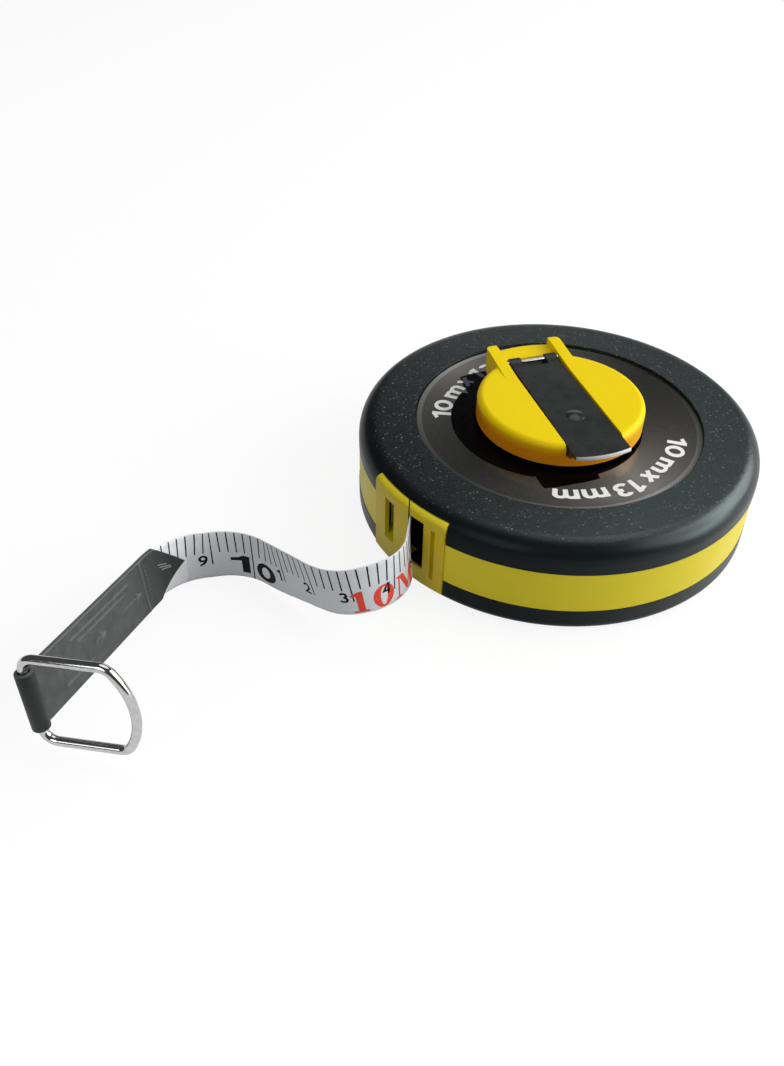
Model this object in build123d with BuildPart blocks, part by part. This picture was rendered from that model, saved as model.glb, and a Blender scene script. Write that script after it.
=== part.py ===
from build123d import *
from math import cos, degrees, radians, sin, sqrt
import os

# Closed-reel tape measure with a fold-out winding crank.
# Millimetres, +Z up. The origin is the centre of the case's underside, the case lies flat,
# and its mouth looks along -X.

# ---- Case ----
case_radius = 49.0
top_edge_radius = 4.9  # rounding of the front cover's rim
bottom_edge_radius = 2.5  # rounding of the rear cover's rim
plate_front = 2.7  # thickness of the front cover's plate
plate_rear = 2.0
wall = 3.8  # thickness of both covers' side walls
spigot = 1.6  # thickness of the lip that the rim band wraps
band_low = 6.2  # lower edge of the rim band
band_drop = 7.3  # from the case's top to the band's upper edge
band_clearance = 0.1

# ---- Mouth block on the rim band ----
mouth_half_angle = 14.0
mouth_low = 2.0
mouth_drop = 1.9  # from the case's top to the block's
mouth_edge_radius = 1.6  # rounding of the block's upper edge
mouth_proud = 0.4  # how far the block stands out of the case's side
block_clearance = 0.2  # between the block and the notch in the covers
tape_window_width = 5.2
window_gap = 0.3  # above and below the tape in its window
tape_side_gap = 0.325  # between the tape and the window's left side
post_width = 4.8  # between the two windows
side_window_width = 3.6
side_window_height = 11.6
side_pocket_width = 5.6  # of the room behind the side window
side_face = 1.85  # thickness of the block's face in front of that room
pillar_width = 2.1
groove_width = 1.1
groove_height = 14.4
groove_depth = 2.0
split_width = 0.4  # slit that lets the tape into the band
cut_margin = 2.0  # how far cuts run past the wall

# ---- Tape ----
tape_width = 13.0
tape_thickness = 0.35
coil_margin = 3.8  # from the coil to the flanges' rims
coil_gap = 0.5  # from the coil to the middle of the straight run that leaves it
lead_heading = -131.2  # direction in which the tape leaves the case, in degrees

# ---- Free end of the tape: each leg is a run or a bend, with the height of the tape's
# centre line and the tape's lean, in degrees, where the leg ends ----
first_bend_radius = 12.2
first_bend_turn = -133.7
second_bend_radius = 16.1
second_bend_turn = 114.3
exit_run = 6.4
middle_run = 15.1
tab_run = 41.8
exit_height = 13.8
first_bend_height = 14.2  # in the middle of the first bend
middle_run_start_height = 11.5
middle_run_end_height = 7.4
second_bend_height = 6.6  # in the middle of the second bend
tab_start_height = 8.2
sleeve_height = 13.3
free_legs = [
    ("run", exit_run, 0, exit_height, -6.0),
    ("bend", first_bend_radius, first_bend_turn / 2, first_bend_height, -5.0),
    ("bend", first_bend_radius, first_bend_turn / 2, middle_run_start_height, 6.5),
    ("run", middle_run, 0, middle_run_end_height, -1.0),
    ("bend", second_bend_radius, second_bend_turn / 2, second_bend_height, -4.7),
    ("bend", second_bend_radius, second_bend_turn / 2, tab_start_height, -6.2),
    ("run", tab_run, 0, sleeve_height, -8.1),
]
section_step = 4.0  # spacing of the cross-sections that shape the tape

# ---- End tab and ring ----
tab_width = 14.0
tab_thickness = 1.2
tab_point = 8.0  # length of the tab's pointed end
tab_overlap = 10.0  # how far the tab's point reaches back over the second bend
tape_in_tab = 9.0  # how far the tape runs on inside the tab's straight part
slot_clearance = 0.05  # between the tape and the slot that holds it in the tab
sleeve_radius = 1.9
wire_radius = 1.0
wire_clearance = 0.08
ring_width = 20.4  # between the middles of the ring's legs
ring_leg = 18.0
ring_bulge = 3.8
ring_corner = 3.0
ring_open_angle = -96.2  # rest angle of the ring from the tab's straight line

# ---- Reel ----
core_radius = 17.6
flange_side_gap = 0.8  # between the flanges' rims and the screw bosses
flange_thickness = 1.0
reel_gap = 0.5  # between the front flange and the front cover
flange_gap = 0.3  # between the tape's edges and the flanges
socket_radius = 16.25  # circumscribed radius of the hexagonal socket
socket_clearance = 0.05
web_thickness = 2.8
journal_radius = 6.0
journal_clearance = 0.06
anchor_azimuth = 30.0  # over the middle of one of the socket's flats
anchor_radius = 0.9
anchor_clearance = 0.4

# ---- Rear bearing ----
boss_height = 4.8  # top of the rear cover's bearing boss
thrust_gap = 0.3  # between the thrust washer and the reel
boss_radius = 11.5
washer_pocket_radius = 9.0
washer_pocket_depth = 3.0
washer_gap = 0.3
hub_washer_radius = 8.4
hub_washer_thickness = 0.6
thrust_washer_thickness = 0.5
cap_radius = 9.6
cap_thickness = 0.9
cap_clearance = 0.05
hub_screw_radius = 1.5
hub_screw_head_radius = 2.8
hub_screw_head_height = 1.1
hub_screw_length = 11.5
thread_allowance = 0.03

# ---- Case screws ----
screw_count = 3
screw_first_angle = 30.0
screw_boss_radius = 2.8
screw_boss_sink = 0.2  # how far the bosses reach into the side wall
screw_radius = 1.0
screw_head_radius = 1.9
screw_head_height = 1.4
screw_head_depth = 2.0  # height of the head's face above the case's underside
screw_length = 13.5
screw_clearance = 0.1
screw_gap = 0.5  # between a screw's end and the bottom of its hole

# ---- Label ----
label_radius = 34.8
label_thickness = 0.3
label_recess = 1.15
label_clearance = 0.3

# ---- Crank ----
crank_azimuth = 67.4  # direction of the hinge, seen from the axis
disc_radius = 20.3
disc_gap = 0.3  # over the front cover
disc_thickness = 5.8
disc_edge_radius = 1.6
neck_radius = 16.4
neck_clearance = 0.08
skirt_wall = 2.0
screw_post_radius = 3.6
pocket_floor_thickness = 1.5
channel_depth = 3.1
channel_clearance = 0.25  # beside the folded arm's free end
hinge_reach = 17.8  # from the axis to the hinge pin
hinge_drop = 0.5  # from the disc's top to the hinge pin
hinge_pin_radius = 0.55
hinge_clearance = 0.05
hinge_room = 2.6  # from the hinge pin to the bridge behind it
lug_reach = 25.0
lug_width = 2.9
lug_rise = 0.9  # how far the lugs stand above the disc
lug_crest = 2.2  # length of the lugs' level tops
lug_bevel = 1.6
lug_corner_radius = 1.2
bridge_bulge = 0.9  # how far the bridge stands out between the lugs
lug_slope_start = 11.0  # where the lugs' tops begin to rise from the disc
lug_pin_fit = 0.02
arm_hinge_half_width = 6.25
arm_tip_half_width = 6.85
arm_overhang = 4.2  # how far the free end stands out of the disc
arm_thickness = 2.6
arm_gap = 0.3  # under the folded arm
arm_end_margin = 1.25  # from the hinge pin to the arm's end
arm_end_radius = 1.2  # rounding under the arm's hinged end
arm_tip_radius = 0.35
lip_thickness = 0.9  # thickness of the free end outside the disc
lip_slope = 1.7  # length over which the arm thins to it
knuckle_wall = 0.35  # over the hinge pin
knuckle_slope = 2.3  # from the hinge pin to the foot of the knuckle
notch_half_width = 3.35
notch_margin = 2.65  # from the hinge pin to the notch's inner side
notch_floor = 0.9  # thickness of the arm under the notch

# ---- Finger knob ----
knob_offset = 25.9  # from the hinge pin to the knob's spindle
knob_radius = 5.2
knob_length = 7.3
knob_gap = 0.2  # between the knob and the arm
knob_edge = 0.4
knob_flutes = 12
flute_radius = 0.5
pocket_clearance = 0.4
pocket_swing = 1.5  # extra length of the pocket for the knob's swing
spindle_radius = 1.5
spindle_clearance = 0.06
spindle_flange_radius = 2.8
spindle_flange_thickness = 0.7
spindle_recess = 1.3  # depth of the recess for the flange in the knob's end
rivet_fit = 0.02
flange_play = 0.3
spindle_head_radius = 2.3
spindle_head_height = 0.6

# ---- Levels and sizes that follow ----
flange_rear_low = boss_height + thrust_washer_thickness + thrust_gap
flange_rear_top = flange_rear_low + flange_thickness
tape_low = flange_rear_top + flange_gap
tape_height = tape_low + tape_width / 2
tape_high = tape_low + tape_width
flange_front_low = tape_high + flange_gap
web_top = flange_rear_low + web_thickness
plate_front_low = flange_front_low + flange_thickness + reel_gap
case_height = plate_front_low + plate_front
band_high = case_height - band_drop
mouth_high = case_height - mouth_drop
wall_inner = case_radius - wall
screw_circle_radius = wall_inner + screw_boss_sink - screw_boss_radius
flange_radius = screw_circle_radius - screw_boss_radius - flange_side_gap
coil_radius = flange_radius - coil_margin
spigot_outer = wall_inner + spigot
band_inner = spigot_outer + band_clearance
parting = (band_low + band_high) / 2
disc_low = case_height + disc_gap
disc_high = disc_low + disc_thickness
lug_top = disc_high + lug_rise
hinge_height = disc_high - hinge_drop
channel_floor = disc_high - channel_depth
washer_face = washer_pocket_depth - washer_gap
arm_low = channel_floor + arm_gap
arm_high = arm_low + arm_thickness
knuckle_top = hinge_height + hinge_pin_radius + hinge_clearance + knuckle_wall
knob_low = arm_low - knob_gap - knob_length
pocket_floor = knob_low - pocket_clearance
knob_reach = hinge_reach - knob_offset
neck_low = pocket_floor - 0.9
arm_reach = disc_radius + arm_overhang
channel_half_width = arm_tip_half_width + channel_clearance
lug_half_width = channel_half_width + lug_width
bridge_top = 2 * hinge_height - arm_high - arm_gap
skirt_apothem = (socket_radius - socket_clearance) * cos(radians(30))
label_floor = case_height - label_recess
screw_seat = screw_head_depth + screw_head_height
screw_top = screw_seat + screw_length
hub_screw_seat = washer_face - hub_washer_thickness
hub_screw_top = hub_screw_seat + hub_screw_length
os.makedirs("parts", exist_ok=True)


def turned(azimuth, height=0.0):
    """A horizontal plane at a height, its X axis turned to an azimuth in degrees."""
    direction = (cos(radians(azimuth)), sin(radians(azimuth)), 0)
    return Plane(origin=(0, 0, height), x_dir=direction, z_dir=(0, 0, 1))


def upright(azimuth):
    """The upright plane through the axis: X points along the azimuth, Y points up."""
    direction = (cos(radians(azimuth)), sin(radians(azimuth)), 0)
    side = (sin(radians(azimuth)), -cos(radians(azimuth)), 0)
    return Plane(origin=(0, 0, 0), x_dir=direction, z_dir=side)


def walk(x, y, heading, kind, size, turn):
    """The place and heading after a run of a length, or a bend of a radius and turn."""
    if kind == "run":
        return x + size * cos(radians(heading)), y + size * sin(radians(heading)), heading
    chord = 2 * size * sin(radians(abs(turn)) / 2)
    middle = radians(heading + turn / 2)
    return x + chord * cos(middle), y + chord * sin(middle), heading + turn


def leg_length(kind, size, turn):
    return size if kind == "run" else size * radians(abs(turn))


def tape_plane(x, y, heading, height, lean, climb):
    """The tape's cross-section: X across the tape towards its upper edge, Z along it."""
    level = cos(climb)
    along = Vector(level * cos(radians(heading)), level * sin(radians(heading)), sin(climb))
    left = Vector(-sin(radians(heading)), cos(radians(heading)), 0)
    across = along.cross(left) * cos(radians(lean)) + left * sin(radians(lean))
    return Plane(origin=(x, y, height), x_dir=across, z_dir=along)


# The straight run leaves the coil where it touches it and crosses the case's side.
lead_radius = coil_radius + coil_gap
lead_direction = (cos(radians(lead_heading)), sin(radians(lead_heading)))
lead_start = (lead_radius * lead_direction[1], -lead_radius * lead_direction[0])
lead_length = sqrt(case_radius**2 - lead_radius**2)
mouth_point = (
    lead_start[0] + lead_length * lead_direction[0],
    lead_start[1] + lead_length * lead_direction[1],
)
lead_slope = lead_direction[1] / lead_direction[0]
tape_legs = [("run", lead_length, 0, tape_height, 0.0)] + free_legs
sleeve_distance = sum(leg_length(*leg[:3]) for leg in tape_legs)
tab_corner = sleeve_distance - tab_run - tab_overlap + tab_point
tape_end = sleeve_distance - tab_run + tape_in_tab


def tape_at(distance):
    """The tape's cross-section plane at a distance along it from where it leaves the coil."""
    x, y, heading = *lead_start, lead_heading
    height, lean = tape_height, 0.0
    for kind, size, turn, end_height, end_lean in tape_legs:
        length = leg_length(kind, size, turn)
        share = min(distance / length, 1.0)
        rise = end_height - height
        part_size = size * share if kind == "run" else size
        x, y, heading = walk(x, y, heading, kind, part_size, turn * share)
        height += rise * share
        lean += (end_lean - lean) * share
        if distance <= length:
            break
        distance -= length
    return tape_plane(x, y, heading, height, lean, rise / length)


def tape_planes(start, end):
    """Cross-section planes along a stretch of the tape, at its ends and at each whole step."""
    first = int(start / section_step + 1.3)
    last = int(end / section_step - 0.3)
    steps = [section_step * step for step in range(first, last + 1)]
    return [tape_at(distance) for distance in (start, *steps, end)]


def mouth_sector(inner, outer, half_angle):
    """A sector of a ring in plan, centred on the mouth, for a BuildSketch."""
    Circle(outer)
    Circle(inner, mode=Mode.SUBTRACT)
    edge_x = -2 * outer * cos(radians(half_angle))
    edge_y = 2 * outer * sin(radians(half_angle))
    corners = ((0, 0), (edge_x, edge_y), (edge_x, -edge_y))
    Polygon(*corners, align=None, mode=Mode.INTERSECT)


# ==== Case ====
# The notch that both covers leave for the mouth block.
notch_angle = mouth_half_angle + degrees(block_clearance / case_radius)
with BuildPart() as mouth_notch_tool:
    with BuildSketch(Plane.XY.offset(mouth_low - block_clearance)):
        mouth_sector(wall_inner - block_clearance, 2 * case_radius, notch_angle)
    extrude(amount=mouth_high - mouth_low + 2 * block_clearance)
mouth_notch = mouth_notch_tool.part

with BuildPart() as front_cover:
    with BuildSketch(upright(0)):
        with BuildLine():
            Polyline(
                (neck_radius + neck_clearance, plate_front_low),
                (wall_inner, plate_front_low),
                (wall_inner, parting),
                (spigot_outer, parting),
                (spigot_outer, band_high),
                (case_radius, band_high),
                (case_radius, case_height - top_edge_radius),
            )
            RadiusArc(
                (case_radius, case_height - top_edge_radius),
                (case_radius - top_edge_radius, case_height),
                -top_edge_radius,
            )
            Polyline(
                (case_radius - top_edge_radius, case_height),
                (label_radius + label_clearance, case_height),
                (label_radius + label_clearance, label_floor),
                (neck_radius + neck_clearance, label_floor),
                (neck_radius + neck_clearance, plate_front_low),
            )
        make_face()
    revolve(axis=Axis.Z)
    with BuildSketch(Plane.XY.offset(parting)):
        with PolarLocations(screw_circle_radius, screw_count, screw_first_angle):
            Circle(screw_boss_radius)
    extrude(amount=plate_front_low - parting)
    # Blind pilot holes for the case screws.
    with BuildSketch(Plane.XY.offset(parting)):
        with PolarLocations(screw_circle_radius, screw_count, screw_first_angle):
            Circle(screw_radius + thread_allowance)
    extrude(amount=screw_top + screw_gap - parting, mode=Mode.SUBTRACT)
    add(mouth_notch, mode=Mode.SUBTRACT)
front_cover.part.label = "front_cover"
export_step(front_cover.part, "parts/front_cover.step")

with BuildPart() as rear_cover:
    with BuildSketch(upright(0)):
        with BuildLine():
            Polyline(
                (journal_radius + journal_clearance, washer_pocket_depth),
                (washer_pocket_radius, washer_pocket_depth),
                (washer_pocket_radius, cap_thickness),
                (cap_radius + cap_clearance, cap_thickness),
                (cap_radius + cap_clearance, 0),
                (case_radius - bottom_edge_radius, 0),
            )
            RadiusArc(
                (case_radius - bottom_edge_radius, 0),
                (case_radius, bottom_edge_radius),
                -bottom_edge_radius,
            )
            Polyline(
                (case_radius, bottom_edge_radius),
                (case_radius, band_low),
                (spigot_outer, band_low),
                (spigot_outer, parting),
                (wall_inner, parting),
                (wall_inner, plate_rear),
                (boss_radius, plate_rear),
                (boss_radius, boss_height),
                (journal_radius + journal_clearance, boss_height),
                (journal_radius + journal_clearance, washer_pocket_depth),
            )
        make_face()
    revolve(axis=Axis.Z)
    with BuildSketch(Plane.XY.offset(plate_rear)):
        with PolarLocations(screw_circle_radius, screw_count, screw_first_angle):
            Circle(screw_boss_radius)
    extrude(amount=parting - plate_rear)
    # Counterbores for the screw heads and clearance holes for the screws.
    with BuildSketch():
        with PolarLocations(screw_circle_radius, screw_count, screw_first_angle):
            Circle(screw_head_radius + screw_clearance)
    extrude(amount=screw_seat, mode=Mode.SUBTRACT)
    with BuildSketch():
        with PolarLocations(screw_circle_radius, screw_count, screw_first_angle):
            Circle(screw_radius + screw_clearance)
    extrude(amount=parting, mode=Mode.SUBTRACT)
    add(mouth_notch, mode=Mode.SUBTRACT)
rear_cover.part.label = "rear_cover"
export_step(rear_cover.part, "parts/rear_cover.step")

# The rim band is a C: it wraps the covers' lips and ends in the two jaws of the mouth.
block_outer = case_radius + mouth_proud
window_left = mouth_point[1] + (tape_thickness / 2 + tape_side_gap) / abs(lead_direction[0])
window_right = window_left - tape_window_width
pillar_right = window_right - pillar_width
cut_outer = -case_radius - cut_margin
cut_inner = -wall_inner + cut_margin
slit_outer = window_left - cut_margin * lead_slope
slit_inner = window_left + (wall + cut_margin) * lead_slope
with BuildPart() as rim_band:
    with BuildSketch(Plane.XY.offset(band_low)):
        Circle(case_radius - band_clearance)
        Circle(band_inner, mode=Mode.SUBTRACT)
    extrude(amount=band_high - band_low)
    # The mouth block: its upper edge is rounded like the cover's rim beside it.
    with BuildSketch(upright(180 - mouth_half_angle)) as block_profile:
        with BuildLine():
            Polyline(
                (wall_inner, mouth_low),
                (block_outer, mouth_low),
                (block_outer, mouth_high),
                (wall_inner, mouth_high),
                (wall_inner, mouth_low),
            )
        make_face()
        fillet(block_profile.vertices().sort_by(Axis.X)[2:].sort_by(Axis.Y)[1], mouth_edge_radius)
    revolve(axis=Axis.Z, revolution_arc=2 * mouth_half_angle)
    # The tape's window: one side lies along the tape, the other squarely across the wall.
    with BuildSketch(Plane.XY.offset(tape_low - window_gap)):
        with BuildLine():
            Polyline(
                (cut_outer, slit_outer),
                (cut_inner, slit_inner),
                (cut_inner, window_right),
                (cut_outer, window_right),
                (cut_outer, slit_outer),
            )
        make_face()
    extrude(amount=tape_width + 2 * window_gap, mode=Mode.SUBTRACT)
    # The slit that opens the window's frame, above and below.
    with BuildSketch(Plane.XY.offset(mouth_low)):
        with BuildLine():
            Polyline(
                (cut_outer, slit_outer),
                (cut_inner, slit_inner),
                (cut_inner, slit_inner - split_width),
                (cut_outer, slit_outer - split_width),
                (cut_outer, slit_outer),
            )
        make_face()
    extrude(amount=mouth_high - mouth_low, mode=Mode.SUBTRACT)
    # The second window with the room behind it, and the groove beside the pillar.
    with BuildSketch(Plane.YZ.offset(cut_outer)):
        with Locations((window_left + post_width, tape_height)):
            Rectangle(side_window_width, side_window_height, align=(Align.MIN, Align.CENTER))
    extrude(amount=wall + 2 * cut_margin, mode=Mode.SUBTRACT)
    with BuildSketch(Plane.YZ.offset(side_face - block_outer)):
        with Locations((window_left + post_width, tape_height)):
            Rectangle(side_pocket_width, side_window_height, align=(Align.MIN, Align.CENTER))
    extrude(amount=wall + cut_margin, mode=Mode.SUBTRACT)
    with BuildSketch(Plane.YZ.offset(-block_outer)):
        with Locations((pillar_right, (mouth_low + mouth_high) / 2)):
            Rectangle(groove_width, groove_height, align=(Align.MAX, Align.CENTER))
    extrude(amount=groove_depth + mouth_proud, mode=Mode.SUBTRACT)
rim_band.part.label = "rim_band"
export_step(rim_band.part, "parts/rim_band.step")

with BuildPart() as front_label:
    with BuildSketch(Plane.XY.offset(label_floor)):
        Circle(label_radius)
        Circle(neck_radius + neck_clearance + label_clearance, mode=Mode.SUBTRACT)
    extrude(amount=label_thickness)
front_label.part.label = "front_label"
export_step(front_label.part, "parts/front_label.step")

with BuildPart() as case_screws:
    with BuildSketch(Plane.XY.offset(screw_head_depth)):
        with PolarLocations(screw_circle_radius, screw_count, screw_first_angle):
            Circle(screw_head_radius)
    extrude(amount=screw_head_height)
    with BuildSketch(Plane.XY.offset(screw_seat)):
        with PolarLocations(screw_circle_radius, screw_count, screw_first_angle):
            Circle(screw_radius)
    extrude(amount=screw_length)
    # A cross recess in each head.
    with BuildSketch(Plane.XY.offset(screw_head_depth)):
        with PolarLocations(screw_circle_radius, screw_count, screw_first_angle):
            Rectangle(screw_head_radius * 1.2, screw_head_radius * 0.3)
            Rectangle(screw_head_radius * 0.3, screw_head_radius * 1.2)
    extrude(amount=screw_head_height / 2, mode=Mode.SUBTRACT)
case_screws.part.label = "case_screws"
export_step(case_screws.part, "parts/case_screws.step")

with BuildPart() as rear_cap:
    with BuildSketch():
        Circle(cap_radius)
    extrude(amount=cap_thickness)
rear_cap.part.label = "rear_cap"
export_step(rear_cap.part, "parts/rear_cap.step")

with BuildPart() as thrust_washer:
    with BuildSketch(Plane.XY.offset(boss_height)):
        Circle(boss_radius)
        Circle(journal_radius + journal_clearance, mode=Mode.SUBTRACT)
    extrude(amount=thrust_washer_thickness)
thrust_washer.part.label = "thrust_washer"
export_step(thrust_washer.part, "parts/thrust_washer.step")

# ==== Reel ====
anchor_circle = (socket_radius * cos(radians(30)) + core_radius) / 2
with BuildPart() as reel_hub:
    with BuildSketch(Plane.XY.offset(flange_rear_low)):
        Circle(flange_radius)
    extrude(amount=flange_thickness)
    with BuildSketch(Plane.XY.offset(flange_rear_low)):
        Circle(core_radius)
    extrude(amount=flange_front_low - flange_rear_low)
    with BuildSketch(Plane.XY.offset(washer_face)):
        Circle(journal_radius)
    extrude(amount=flange_rear_low - washer_face)
    # The hexagonal socket that the crank drives, and the round seat above it.
    with BuildSketch(Plane.XY.offset(web_top)):
        RegularPolygon(socket_radius, 6)
    extrude(amount=neck_low - web_top, mode=Mode.SUBTRACT)
    with BuildSketch(Plane.XY.offset(neck_low)):
        Circle(neck_radius + neck_clearance)
    extrude(amount=flange_front_low - neck_low, mode=Mode.SUBTRACT)
    with BuildSketch(Plane.XY.offset(washer_face)):
        Circle(hub_screw_radius + screw_clearance)
    extrude(amount=web_top - washer_face, mode=Mode.SUBTRACT)
    # A keyhole in the core holds the tape's inner end round its anchor pin.
    with BuildSketch(turned(anchor_azimuth, flange_rear_top)):
        with Locations((anchor_circle, 0)):
            Circle(anchor_radius + anchor_clearance)
        with Locations((core_radius, 0)):
            Rectangle(2 * (core_radius - anchor_circle), 2 * anchor_clearance)
    extrude(amount=neck_low - flange_rear_top, mode=Mode.SUBTRACT)
reel_hub.part.label = "reel_hub"
export_step(reel_hub.part, "parts/reel_hub.step")

with BuildPart() as reel_front_flange:
    with BuildSketch(Plane.XY.offset(flange_front_low)):
        Circle(flange_radius)
        Circle(neck_radius + neck_clearance, mode=Mode.SUBTRACT)
    extrude(amount=flange_thickness)
reel_front_flange.part.label = "reel_front_flange"
export_step(reel_front_flange.part, "parts/reel_front_flange.step")

with BuildPart() as tape_anchor_pin:
    with BuildSketch(turned(anchor_azimuth, flange_rear_top)):
        with Locations((anchor_circle, 0)):
            Circle(anchor_radius)
    extrude(amount=neck_low - flange_rear_top)
tape_anchor_pin.part.label = "tape_anchor_pin"
export_step(tape_anchor_pin.part, "parts/tape_anchor_pin.step")

with BuildPart() as tape_coil:
    with BuildSketch(Plane.XY.offset(tape_low)):
        Circle(coil_radius)
        Circle(core_radius + band_clearance, mode=Mode.SUBTRACT)
    extrude(amount=tape_width)
tape_coil.part.label = "tape_coil"
export_step(tape_coil.part, "parts/tape_coil.step")

# ==== Crank ====
crank_along = Axis((0, 0, 0), turned(crank_azimuth).x_dir)
crank_across = Axis((0, 0, 0), turned(crank_azimuth).y_dir)
with BuildPart() as crank_disc:
    with BuildSketch(Plane.XY.offset(disc_low)):
        Circle(disc_radius)
    extrude(amount=disc_high - disc_low)
    fillet(crank_disc.edges().group_by(Axis.Z)[-1], disc_edge_radius)
    # Two lugs carry the hinge pin past the disc's rim, joined by a low bridge.
    with BuildSketch(upright(crank_azimuth)):
        with BuildLine():
            Polyline(
                (lug_slope_start, disc_low),
                (lug_reach - lug_bevel, disc_low),
                (lug_reach, disc_low + lug_bevel),
                (lug_reach, lug_top),
                (lug_reach - lug_crest, lug_top),
                (lug_slope_start, disc_high),
                (lug_slope_start, disc_low),
            )
        make_face()
    extrude(amount=lug_half_width, both=True)
    lug_corners = crank_disc.edges().filter_by(Axis.Z).sort_by(crank_along)[-2:]
    fillet(lug_corners, lug_corner_radius)
    with BuildSketch(turned(crank_azimuth, disc_low + lug_bevel)):
        Circle(lug_reach + bridge_bulge)
        with Locations((hinge_reach, 0)):
            Rectangle(
                lug_reach,
                2 * channel_half_width,
                align=(Align.MIN, Align.CENTER),
                mode=Mode.INTERSECT,
            )
    extrude(amount=bridge_top - disc_low - lug_bevel)
    with BuildSketch(turned(crank_azimuth, channel_floor)):
        with Locations((hinge_reach + hinge_room, 0)):
            Rectangle(4 * disc_radius, 2 * channel_half_width, align=(Align.MAX, Align.CENTER))
    extrude(amount=lug_top - channel_floor, mode=Mode.SUBTRACT)
    with BuildSketch(turned(crank_azimuth, bridge_top)):
        Rectangle(4 * disc_radius, 2 * channel_half_width)
    extrude(amount=lug_top - bridge_top, mode=Mode.SUBTRACT)
    with BuildSketch(Plane.XY.offset(neck_low)):
        Circle(neck_radius)
    extrude(amount=disc_low - neck_low)
    # The pocket that takes the finger knob under the folded arm.
    with BuildSketch(turned(crank_azimuth, channel_floor)):
        with Locations((knob_reach - pocket_swing / 2, 0)):
            SlotOverall(
                2 * (knob_radius + pocket_clearance) + pocket_swing,
                2 * (knob_radius + pocket_clearance),
            )
    extrude(amount=pocket_floor - channel_floor, mode=Mode.SUBTRACT)
    # The hexagonal skirt that turns the reel, hollow round a post for the screw.
    with BuildSketch(Plane.XY.offset(web_top)):
        RegularPolygon(socket_radius - socket_clearance, 6)
    extrude(amount=neck_low - web_top)
    with BuildSketch(Plane.XY.offset(web_top)):
        Circle(skirt_apothem - skirt_wall)
        Circle(screw_post_radius, mode=Mode.SUBTRACT)
    extrude(amount=pocket_floor - pocket_floor_thickness - web_top, mode=Mode.SUBTRACT)
    with BuildSketch(Plane.XY.offset(web_top)):
        Circle(hub_screw_radius + thread_allowance)
    extrude(amount=hub_screw_top + screw_gap - web_top, mode=Mode.SUBTRACT)
    with BuildSketch(upright(crank_azimuth)):
        with Locations((hinge_reach, hinge_height)):
            Circle(hinge_pin_radius + lug_pin_fit)
    extrude(amount=2 * lug_half_width, both=True, mode=Mode.SUBTRACT)
crank_disc.part.label = "crank_disc"
export_step(crank_disc.part, "parts/crank_disc.step")

with BuildPart() as crank_hinge_pin:
    with BuildSketch(upright(crank_azimuth)):
        with Locations((hinge_reach, hinge_height)):
            Circle(hinge_pin_radius)
    extrude(amount=lug_half_width - hinge_pin_radius / 2, both=True)
crank_hinge_pin.part.label = "crank_hinge_pin"
export_step(crank_hinge_pin.part, "parts/crank_hinge_pin.step")

with BuildPart() as hub_washer:
    with BuildSketch(Plane.XY.offset(washer_face - hub_washer_thickness)):
        Circle(hub_washer_radius)
        Circle(hub_screw_radius + screw_clearance, mode=Mode.SUBTRACT)
    extrude(amount=hub_washer_thickness)
hub_washer.part.label = "hub_washer"
export_step(hub_washer.part, "parts/hub_washer.step")

with BuildPart() as hub_screw:
    with BuildSketch(Plane.XY.offset(hub_screw_seat - hub_screw_head_height)):
        Circle(hub_screw_head_radius)
    extrude(amount=hub_screw_head_height)
    with BuildSketch(Plane.XY.offset(hub_screw_seat)):
        Circle(hub_screw_radius)
    extrude(amount=hub_screw_length)
    # A cross recess in the head.
    with BuildSketch(Plane.XY.offset(hub_screw_seat - hub_screw_head_height)):
        Rectangle(hub_screw_head_radius * 1.2, hub_screw_head_radius * 0.25)
        Rectangle(hub_screw_head_radius * 0.25, hub_screw_head_radius * 1.2)
    extrude(amount=hub_screw_head_height / 2, mode=Mode.SUBTRACT)
hub_screw.part.label = "hub_screw"
export_step(hub_screw.part, "parts/hub_screw.step")

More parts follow.
